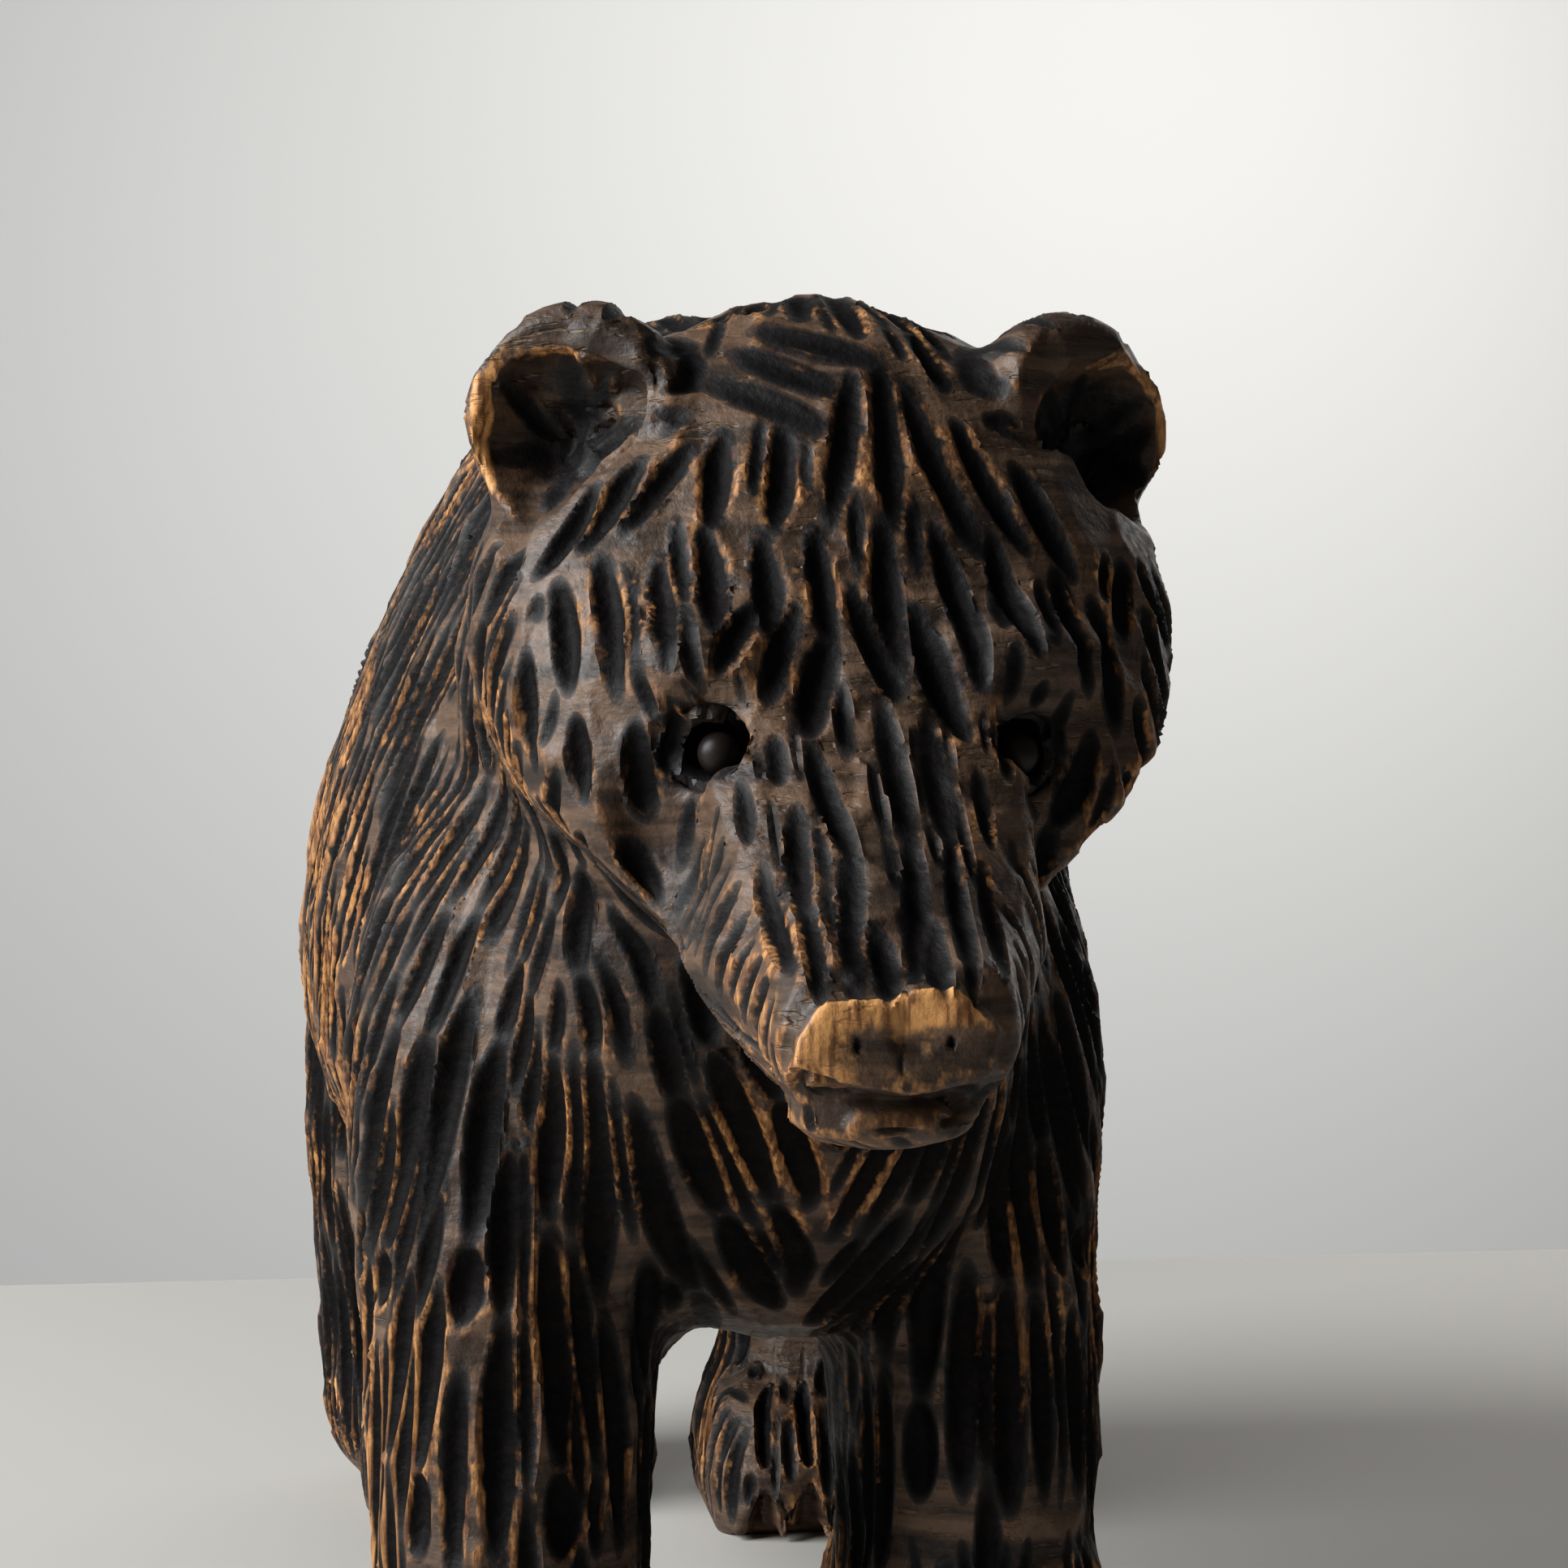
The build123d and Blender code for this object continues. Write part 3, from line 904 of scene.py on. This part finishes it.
class Neighbours:
    """Finds the mesh points near a place by cell."""

    def __init__(self, points):
        cells = np.floor(points / CELL).astype(np.int64)
        names = (cells[:, 0] * CELL_SPAN + cells[:, 1]) * CELL_SPAN + cells[:, 2]
        self.order = np.argsort(names, kind="stable")
        names, firsts, counts = np.unique(names[self.order], return_index=True, return_counts=True)
        self.places = {int(n): slice(int(f), int(f + c)) for n, f, c in zip(names, firsts, counts)}

    def within(self, low, high):
        """The numbers of all points in the cells that a box touches."""
        low = np.floor(low / CELL).astype(int)
        high = np.floor(high / CELL).astype(int)
        names = (
            (i * CELL_SPAN + j) * CELL_SPAN + k
            for i in range(low[0], high[0] + 1)
            for j in range(low[1], high[1] + 1)
            for k in range(low[2], high[2] + 1)
        )
        found = [self.order[self.places[n]] for n in names if n in self.places]
        return np.concatenate(found) if found else np.empty(0, np.int64)


def facet_depths(points, normals, neighbours, facets):
    """For every point: how much the knife takes off it."""
    depth = np.zeros(len(points))
    for facet in facets:
        reach = facet.half_length
        near = neighbours.within(facet.centre - reach, facet.centre + reach)
        if not len(near):
            continue
        offset = points[near] - facet.centre
        above = facet.bite + offset @ facet.normal
        along = offset @ facet.along / facet.half_length
        across = offset @ facet.across / facet.half_width
        oval = along ** 2 + across ** 2
        facing = normals[near] @ facet.normal
        cut = np.minimum(above, FACET_LIMIT * (1.0 - oval)) / np.maximum(facing, FACET_STEEPEST)
        depth[near] = np.maximum(depth[near], np.where(facing > FACET_FACING, cut, 0.0))
    return depth


def cut_depths(points, normals, neighbours, scoops):
    """For every point: its depth in a cut, its distance outside the nearest cut, and the way from it."""
    depth = np.zeros(len(points))
    outside = np.full(len(points), np.inf)
    away = np.zeros((len(points), 3))
    for scoop in scoops:
        line = scoop.line
        reach = scoop.half_width + 1.0
        near = neighbours.within(line.min(0) - reach, line.max(0) + reach)
        if not len(near):
            continue
        p = points[near]
        start, run = line[:-1], np.diff(line, axis=0)
        length = np.linalg.norm(run, axis=1) + 1e-9
        offset = p[:, None, :] - start[None, :, :]
        t = np.clip((offset * run[None]).sum(2) / length[None] ** 2, 0.0, 1.0)
        gap = offset - t[:, :, None] * run[None]
        distance = np.linalg.norm(gap, axis=2)
        best = distance.argmin(1)
        row = np.arange(len(near))
        distance = distance[row, best]
        gap = gap[row, best]
        travelled = np.concatenate([[0.0], np.cumsum(length)])
        along = 2.0 * (travelled[best] + t[row, best] * length[best]) / travelled[-1] - 1.0
        taper = np.clip(1.0 - along * along, 1e-4, 1.0)
        width = scoop.half_width * taper**scoop.blunt
        cut = scoop.depth * taper**DEPTH_TAPER * np.clip(1.0 - (distance / width) ** 2, 0.0, 1.0)
        # A cut leaves the wall behind it whole, as where it passes close to an eye socket.
        facing = (normals[near] * scoop.normals[best]).sum(1)
        cut *= ramp(facing, *CUT_FACING)
        depth[near] = np.maximum(depth[near], cut)
        edge = distance - width
        closer = edge < outside[near]
        chosen = near[closer]
        outside[chosen] = edge[closer]
        away[chosen] = gap[closer] / (distance[closer, None] + 1e-9)
    return depth, outside, away


def shuffled_points(points, count):
    """That many points of the surface, in a mixed order that is the same on every run."""
    picked = chance.sample(range(len(points)), min(count, len(points)))
    return [Vector(points[i]) for i in picked]


def cut_ear(gouge, side):
    """Short scoops over the ear's edge, and chisel cuts that run from its rim down into the cup."""
    first, step = EAR_EDGE_ANGLES
    for number in range(EAR_EDGE_SCOOPS):
        angle = math.radians(first + step * number + chance.uniform(*EAR_EDGE_SLIP))
        line = [
            ear_place(side, radius * math.cos(angle), radius * math.sin(angle), forward)
            for radius, forward in EAR_EDGE_PATH
        ]
        half_width = chance.uniform(*EAR_EDGE_HALF_WIDTH)
        gouge.add(line, half_width, chance.uniform(*EAR_EDGE_DEPTH), EAR_BLUNT)
    deep_out, deep_up = EAR_DEEPEST[side]
    first, step = EAR_CUP_ANGLES
    for number in range(EAR_CUP_SCOOPS):
        angle = math.radians(first + step * number + chance.uniform(*EAR_CUP_SLIP))
        edge = edge_distance(EAR_CUPS[side], angle) - 1.0
        line = []
        for part, forward in EAR_CUP_PATH:
            out = deep_out + part * (edge * math.cos(angle) - deep_out)
            up = deep_up + part * (edge * math.sin(angle) - deep_up)
            line.append(ear_place(side, out, up, forward))
        half_width = chance.uniform(*CHISEL_HALF_WIDTH)
        gouge.add(line, half_width, chance.uniform(*CHISEL_DEPTH), EAR_BLUNT)


def cut_jaw_and_mouth(gouge, side):
    """Parallel V cuts along the jaw, half of the mouth, and a nostril."""
    for number in range(JAW_LINES):
        drop = (number - 0.5) * JAW_LINE_SPACING
        line = [(HEAD_X + side * out, y, z - drop) for out, y, z in JAW_LINE]
        gouge.add(line, *JAW_KNIFE, clear=number == 1)
    nose_x, nose_y, nose_z = NOSE
    gouge.add([(nose_x + side * out, y, z) for out, y, z in MOUTH_LINE], *MOUTH_KNIFE)
    nostril = nose_x + NOSTRIL_SHIFT + side * NOSTRIL_OUT
    gouge.add([(nostril + x, nose_y, nose_z + z) for x, z in NOSTRIL], *NOSTRIL_DRILL)


def cut_nose_crease(gouge):
    """The shallow crease down the middle of the nose."""
    nose_x, nose_y, nose_z = NOSE
    gouge.add([(nose_x + x, nose_y, nose_z + z) for x, z in NOSE_CREASE], *CREASE_KNIFE)


def cut_toes(gouge):
    """Grooves between the toes, from the top of each paw down to its claws."""
    for paw_x, paw_y in PAWS:
        front = paw_y - PAW_HALF_LENGTH
        for x in toe_gaps(paw_x):
            gouge.add([(x, front + behind, up) for behind, up in TOE_GROOVE], *TOE_GOUGE)


def keep_clear_of_eyes(gouge):
    """Marks places round each eye that the fur stays away from."""
    for hand in ("right", "left"):
        bead = bead_centre(hand)
        for across, up in ((-1.0, 0.0), (1.0, 0.0), (0.0, -1.0), (0.0, 1.0)):
            gouge.taken.add(bead + EYE_CLEAR * Vector((across, -1.0, up)))


def lay_cuts(points, quads):
    """All the cuts on the bear: the knife's facets, and the gouge's scoops and lines."""
    gouge = Carver(points, quads)
    facets = knife_facets(gouge, shuffled_points(points, FACET_STARTS))

    gouge.front_cuts(CROWN_CUTS, CROWN_GOUGE)
    gouge.front_cuts(FACE_CUTS, FACE_GOUGE)
    gouge.front_cuts(MUZZLE_CUTS, MUZZLE_GOUGE)
    for side in (-1, 1):
        cut_ear(gouge, side)
        cut_jaw_and_mouth(gouge, side)
    cut_nose_crease(gouge)
    cut_toes(gouge)

    keep_clear_of_eyes(gouge)
    for squeeze in FUR_PASSES:
        gouge.fur(shuffled_points(points, FUR_STARTS), squeeze)
    for scoop in gouge.scoops:
        scoop.normals = np.array([tuple(gouge.onto(p)[1]) for p in scoop.line[:-1]])
    return facets, gouge.scoops


def ridges(mesh, place, normal):
    """How far each point stands out of its neighbours' mean: above 0 on ridges, below 0 in grooves."""
    ends = np.empty(len(mesh.edges) * 2, np.int32)
    mesh.edges.foreach_get("vertices", ends)
    one, other = ends[0::2], ends[1::2]
    count = len(place)
    number = np.bincount(one, minlength=count) + np.bincount(other, minlength=count)
    stand = np.zeros(count)
    for _ in range(RIDGE_SPREAD):
        for axis in range(3):
            total = np.bincount(one, place[other, axis], count)
            total += np.bincount(other, place[one, axis], count)
            stand += (place[:, axis] - total / number) * normal[:, axis]
        stand = (np.bincount(one, stand[other], count) + np.bincount(other, stand[one], count)) / number
    return stand


def ball(place, centre, radius):
    """1 in the middle of a ball, falling to 0 at its radius."""
    return 1.0 - ramp(np.linalg.norm(place - np.array(centre), axis=1) / radius, BALL_CORE, 1.0)


def bare_nose(x, y, z):
    """The front of the nose is bare, and barest along its top and its right side."""
    nose_x, _, _ = NOSE
    barest = np.maximum(ramp(z, *NOSE_TOP_BARE), ramp(nose_x - x, *NOSE_SIDE_BARE))
    return (1.0 - ramp(y, *NOSE_BARE_Y)) * ramp(z, *NOSE_BARE_UP) * (0.5 + 0.5 * barest)


def bare_rim(side, x, y, z):
    """The rim of an ear is rubbed bare, most on the outer side of its cup."""
    out, up, forward = within_ear(side, x, y, z)
    beyond = beyond_sides(EAR_CUPS[side], out, up)
    rim = ramp(forward, *RIM_BACK) * ramp(beyond, *RIM_INNER_EDGE) * (1.0 - ramp(beyond, *RIM_OUTER_EDGE))
    rim *= INNER_RIM + (1.0 - INNER_RIM) * ramp(out, *RIM_OUTER_SIDE)
    return EAR_RUBBED[side] * rim * (1.0 - ramp(forward, *RIM_FRONT)) * ramp(up, *RIM_FOOT)


def bare_patches(place):
    """Where bare wood shows: the nose, the rims of the ears and a rubbed spot on a haunch."""
    x, y, z = place.T
    bare = bare_nose(x, y, z)
    for side in (-1, 1):
        bare = np.maximum(bare, bare_rim(side, x, y, z))
    centre, half = HAUNCH_SPOT
    spot = np.sqrt(sum(((axis - c) / h) ** 2 for axis, c, h in zip((x, y, z), centre, half)))
    return np.maximum(bare, 1.0 - ramp(spot, SPOT_CORE, 1.0))


def handled(place):
    """Where the stain is rubbed most off the edges."""
    worn = np.full(len(place), WEAR_EVERYWHERE)
    for centre, radius in WORN_PLACES:
        worn = np.maximum(worn, ball(place, centre, radius))
    return worn


def painted_shade_mask(place):
    """Painted shade: how far the colour is blackened in the eye sockets and deep in the ears."""
    painted_shade = np.zeros(len(place))
    for hand in ("right", "left"):
        painted_shade = np.maximum(painted_shade, ball(place, bead_centre(hand), EYE_SHADE))
    for side, radius in EAR_SHADE.items():
        deepest = ear_place(side, *EAR_DEEPEST[side], -EAR_CUP_DEPTH)
        painted_shade = np.maximum(painted_shade, ball(place, deepest, radius))
    return np.minimum(1.0, SHADE_STRENGTH * painted_shade)


def finer_mesh(points, quads):
    """The sculpted surface as an object with four times as many faces."""
    mesh = bpy.data.meshes.new("sculpted")
    mesh.from_pydata((points / MM).tolist(), [], quads.tolist())
    bear = bpy.data.objects.new("carved_bear", mesh)
    bpy.context.scene.collection.objects.link(bear)
    finer = bear.modifiers.new("finer", "SUBSURF")
    finer.levels = 1
    bear.data = bpy.data.meshes.new_from_object(bear.evaluated_get(bpy.context.evaluated_depsgraph_get()))
    bear.modifiers.remove(finer)
    bpy.data.meshes.remove(mesh)
    bear.data.name = "carved_bear"
    return bear


def carved_bear():
    """The bear's mesh, cut all over, with what its material needs to know stored on its points."""
    points, quads = sculpted_surface()
    corners = points[quads]
    facing = np.cross(corners[:, 2] - corners[:, 0], corners[:, 3] - corners[:, 1])
    if (facing * corners[:, 0]).sum() < 0.0:
        quads = quads[:, ::-1]
    bear = finer_mesh(points, quads)
    mesh = bear.data

    facets, scoops = lay_cuts(points, quads)
    place = triples(mesh.vertices, "co").astype(np.float64) * MM
    normal = triples(mesh.vertex_normals, "vector").astype(np.float64)
    neighbours = Neighbours(place)
    facet_depth = facet_depths(place, normal, neighbours, facets)
    depth, outside, away = cut_depths(place, normal, neighbours, scoops)
    store(mesh, "bare", bare_patches(place))
    store(mesh, "worn", handled(place))
    # Painted shade round the eyes and deep in the ears, for the material to blacken.
    store(mesh, "painted_shade", painted_shade_mask(place))

    # Points close to a cut's edge are drawn onto it, which keeps the edge crisp.
    on_edge = np.abs(outside) < SNAP
    place[on_edge] -= away[on_edge] * outside[on_edge, None]
    depth[on_edge] = 0.0
    outside[on_edge] = 0.0
    facet_depth *= 1.0 - ramp(depth, 0.0, FACETS_END)
    place -= normal * (facet_depth + depth)[:, None]
    place = np.clip(place, np.array(cad_low) * MM, np.array(cad_high) * MM)

    mesh.vertices.foreach_set("co", (place / MM).astype(np.float32).ravel())
    mesh.update()
    store(mesh, "stand", ridges(mesh, place, triples(mesh.vertex_normals, "vector")))
    store(mesh, "outside", np.clip(outside, *OUTSIDE_KEPT))
    store(mesh, "depth", depth)
    return bear


def store(mesh, name, values):
    """Keeps one number per point for the material to read."""
    layer = mesh.attributes.new(name, "FLOAT", "POINT")
    layer.data.foreach_set("value", np.asarray(values, np.float32))


# --- Materials -------------------------------------------------------------------------------
PALE_STAIN = (0.13, 0.075, 0.044, 1.0)
DARK_STAIN = (0.022, 0.013, 0.0085, 1.0)
BLOTCH_STAIN = (0.1, 0.055, 0.03, 1.0)
GRIT_STAIN = (0.008, 0.006, 0.006, 1.0)
CUT_PALE = (0.0045, 0.0038, 0.004, 1.0)
CUT_DARK = (0.0016, 0.0014, 0.0016, 1.0)
# Painted shade colour, for the eye sockets and the depths of the ears.
PAINTED_SHADE_BLACK = (0.004, 0.0035, 0.004, 1.0)
CRUMBLED_WOOD = (0.12, 0.075, 0.04, 1.0)
WORN_PALE = (0.6, 0.28, 0.095, 1.0)
WORN_DARK = (0.17, 0.065, 0.024, 1.0)
BARE_PALE = (0.68, 0.33, 0.11, 1.0)
BARE_DARK = (0.18, 0.07, 0.026, 1.0)


class Nodes:
    """A short way to write a material's node tree."""

    def __init__(self, name):
        self.material = bpy.data.materials.new(name)
        self.material.use_nodes = True
        self.tree = self.material.node_tree
        self.shader = self.tree.nodes["Principled BSDF"]

    def add(self, kind, settings=None, **inputs):
        node = self.tree.nodes.new(kind)
        for key, value in (settings or {}).items():
            setattr(node, key, value)
        for key, value in inputs.items():
            self.plug(node, key, value)
        return node

    def plug(self, node, key, value):
        socket = node.inputs[key.replace("_", " ")] if isinstance(key, str) else node.inputs[key]
        if isinstance(value, bpy.types.NodeSocket):
            self.tree.links.new(value, socket)
        else:
            socket.default_value = value

    def attribute(self, name):
        return self.add("ShaderNodeAttribute", {"attribute_name": name}).outputs["Fac"]

    def position(self, scale):
        place = self.add("ShaderNodeTexCoord").outputs["Object"]
        return self.add("ShaderNodeMapping", Vector=place, Scale=scale).outputs["Vector"]

    def noise(self, scale, size=1.0, detail=3.0, rough=0.55):
        place = self.position(scale)
        node = self.add("ShaderNodeTexNoise", Vector=place, Scale=size, Detail=detail, Roughness=rough)
        return node.outputs["Fac"]

    def math(self, operation, a, b=0.0):
        node = self.add("ShaderNodeMath", {"operation": operation})
        self.plug(node, 0, a)
        self.plug(node, 1, b)
        return node.outputs["Value"]

    def times(self, a, b):
        return self.math("MULTIPLY", a, b)

    def plus(self, a, b):
        return self.math("ADD", a, b)

    def between(self, value, low, high, out_low=0.0, out_high=1.0):
        node = self.add("ShaderNodeMapRange", {"interpolation_type": "SMOOTHSTEP"}, Value=value)
        self.plug(node, "From_Min", low)
        self.plug(node, "From_Max", high)
        self.plug(node, "To_Min", out_low)
        self.plug(node, "To_Max", out_high)
        return node.outputs["Result"]

    def mix(self, factor, a, b):
        node = self.add("ShaderNodeMix", {"data_type": "RGBA"})
        self.plug(node, 0, factor)
        self.plug(node, 6, a)
        self.plug(node, 7, b)
        return node.outputs[2]


def stained_wood():
    """Black-brown stained wood, worn back to orange wood along edges and in bare patches."""
    n = Nodes("stained_wood")
    outside = n.attribute("outside")
    depth = n.attribute("depth")
    stand = n.attribute("stand")
    bare = n.attribute("bare")
    worn = n.attribute("worn")
    painted_shade = n.attribute("painted_shade")

    fibre = n.noise((1000.0, 110.0, 1000.0), detail=4.0)
    grit = n.noise((900.0, 900.0, 900.0), detail=3.0)
    blotch = n.noise((70.0, 70.0, 45.0), detail=4.0)
    broad = n.noise((16.0, 16.0, 12.0), detail=2.0)
    rings = n.noise((45.0, 60.0, 420.0), detail=3.0)
    streaks = n.noise((1500.0, 1500.0, 170.0), detail=3.0)

    # The lands keep a brown stain with paler and darker streaks; the cuts are nearly black.
    stain = n.mix(n.between(rings, 0.35, 0.7), DARK_STAIN, PALE_STAIN)
    stain = n.mix(n.times(n.between(blotch, 0.45, 0.8), 0.5), stain, BLOTCH_STAIN)
    stain = n.mix(n.times(n.between(grit, 0.55, 0.75), 0.35), stain, GRIT_STAIN)
    within = n.between(outside, 0.05, -0.15)
    black = n.mix(n.between(fibre, 0.4, 0.7), CUT_DARK, CUT_PALE)
    colour = n.mix(n.times(within, n.between(depth, 0.0, 0.45, 0.6, 0.98)), stain, black)

    # Short crumbled pits where the end of the grain broke out under the knife.
    rows = n.noise((260.0, 260.0, 1500.0), detail=2.0)
    crumbled = n.times(n.between(broad, 0.52, 0.6), n.between(rows, 0.58, 0.66))
    crumbled = n.times(crumbled, n.between(outside, 0.0, 0.3))
    colour = n.mix(n.times(crumbled, n.between(grit, 0.4, 0.6)), colour, CRUMBLED_WOOD)

    # Edges are rubbed through in places.
    ragged = n.plus(n.times(blotch, 0.75), n.times(grit, 0.25))
    patchy = n.between(n.plus(ragged, n.times(worn, 0.3)), 0.56, 0.72)
    rubbed = n.times(n.between(stand, 0.015, 0.08), patchy)
    worn_wood = n.mix(n.between(streaks, 0.36, 0.62), WORN_PALE, WORN_DARK)
    colour = n.mix(n.times(rubbed, 0.75), colour, worn_wood)

    # Bare patches have ragged outlines, and the cuts across them stay black.
    uneven = n.times(n.math("SUBTRACT", ragged, 0.5), 1.8)
    patch = n.between(n.plus(bare, uneven), 0.45, 0.75)
    patch = n.times(n.between(bare, 0.0, 0.4), patch)
    patch = n.times(patch, n.between(depth, 0.35, 0.1))
    bare_wood = n.mix(n.between(streaks, 0.4, 0.68), BARE_PALE, BARE_DARK)
    colour = n.mix(patch, colour, bare_wood)
    # Painted shade: the colour goes almost black round the eyes and deep in the ears.
    colour = n.mix(n.times(painted_shade, 0.92), colour, PAINTED_SHADE_BLACK)

    roughness = n.between(n.plus(n.times(within, 0.25), grit), 0.2, 0.8, 0.4, 0.64)
    height = n.plus(n.times(fibre, 0.6), n.times(rings, 0.5))
    height = n.plus(height, n.times(grit, 0.35))
    height = n.math("SUBTRACT", height, n.times(crumbled, 0.8))
    bump = n.add("ShaderNodeBump", Height=height, Strength=0.6, Distance=0.0005).outputs["Normal"]
    n.plug(n.shader, "Base_Color", colour)
    n.plug(n.shader, "Roughness", roughness)
    n.plug(n.shader, "Normal", bump)
    n.plug(n.shader, "Specular_IOR_Level", n.between(depth, 0.1, 1.0, 0.3, 0.07))
    return n.material


def bead_glass():
    """Black glass, faintly brown where light gets in."""
    n = Nodes("bead_glass")
    cloud = n.noise((300.0, 300.0, 300.0), detail=2.0)
    n.plug(n.shader, "Base_Color", n.mix(cloud, (0.003, 0.003, 0.004, 1.0), (0.02, 0.012, 0.008, 1.0)))
    n.plug(n.shader, "Roughness", n.between(cloud, 0.2, 0.8, 0.34, 0.48))
    n.shader.inputs["Specular IOR Level"].default_value = 0.2
    return n.material


def pin_wire():
    """Drawn steel wire with fine lines along it and a little tarnish."""
    n = Nodes("pin_wire")
    lines = n.noise((2500.0, 300.0, 2500.0), detail=2.0)
    n.plug(n.shader, "Base_Color", n.mix(lines, (0.32, 0.3, 0.28, 1.0), (0.5, 0.48, 0.45, 1.0)))
    n.plug(n.shader, "Roughness", n.between(lines, 0.2, 0.8, 0.25, 0.45))
    n.shader.inputs["Metallic"].default_value = 1.0
    return n.material


def plain(name, colour, roughness):
    """A plain surface for the stage."""
    n = Nodes(name)
    n.shader.inputs["Base Color"].default_value = colour
    n.shader.inputs["Roughness"].default_value = roughness
    return n.material


# --- Stage -----------------------------------------------------------------------------------
def flat_stage(name, corners, material):
    """A flat rectangle that is not part of the object."""
    mesh = bpy.data.meshes.new(name)
    mesh.from_pydata(corners, [], [(0, 1, 2, 3)])
    mesh.materials.append(material)
    thing = bpy.data.objects.new(name, mesh)
    bpy.context.scene.collection.objects.link(thing)


def room():
    """A plain pale floor that ends a little way behind the bear, and a pale wall further back."""
    floor = [
        (-FLOOR_HALF, -FLOOR_HALF, 0.0),
        (FLOOR_HALF, -FLOOR_HALF, 0.0),
        (FLOOR_HALF, FLOOR_BACK, 0.0),
        (-FLOOR_HALF, FLOOR_BACK, 0.0),
    ]
    wall = [
        (-WALL_HALF, WALL_Y, WALL_LOW),
        (WALL_HALF, WALL_Y, WALL_LOW),
        (WALL_HALF, WALL_Y, WALL_HIGH),
        (-WALL_HALF, WALL_Y, WALL_HIGH),
    ]
    flat_stage("floor", floor, plain("pale_floor", (0.5, 0.47, 0.43, 1.0), 0.6))
    flat_stage("wall", wall, plain("pale_wall", (0.8, 0.79, 0.77, 1.0), 0.9))


def light(name, place, target, size, power, colour):
    """A square lamp that points at its target."""
    lamp = bpy.data.lights.new(name, "AREA")
    lamp.shape = "SQUARE"
    lamp.size = size
    lamp.energy = power
    lamp.color = colour
    thing = bpy.data.objects.new(name, lamp)
    thing.location = place
    thing.rotation_euler = (Vector(target) - Vector(place)).to_track_quat("-Z", "Y").to_euler()
    bpy.context.scene.collection.objects.link(thing)


def studio():
    """Soft window light from the left, a dim fill behind, a wash over the wall and a dim surrounding."""
    world = bpy.data.worlds.new("studio")
    bpy.context.scene.world = world
    world.use_nodes = True
    background = world.node_tree.nodes["Background"]
    background.inputs["Color"].default_value = WORLD_COLOUR
    background.inputs["Strength"].default_value = WORLD_STRENGTH
    for name, settings in LAMPS.items():
        light(name, *settings)
    bpy.context.scene.view_settings.view_transform = "Standard"


def camera():
    """A camera on a level with the bear's head, turned a little towards its left side."""
    lens = bpy.data.cameras.new("camera")
    lens.angle = math.radians(CAMERA_ANGLE)
    lens.clip_start = CAMERA_NEAR
    thing = bpy.data.objects.new("camera", lens)
    thing.location = CAMERA_PLACE
    thing.rotation_euler = (math.radians(90.0), 0.0, math.radians(CAMERA_TURN))
    bpy.context.scene.collection.objects.link(thing)
    bpy.context.scene.camera = thing


camera()
studio()
room()

bear = carved_bear()
bear.data.materials.append(stained_wood())
bear.data.shade_smooth()
bear.data.set_sharp_from_angle(angle=math.radians(CREASE_ANGLE))
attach(bear, "root")
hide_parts("carved_body")

glass = bead_glass()
steel = pin_wire()
for hand in ("right", "left"):
    for part, material in (("bead", glass), ("pin", steel)):
        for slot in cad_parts[f"{hand}_eye_{part}"].material_slots:
            slot.material = material
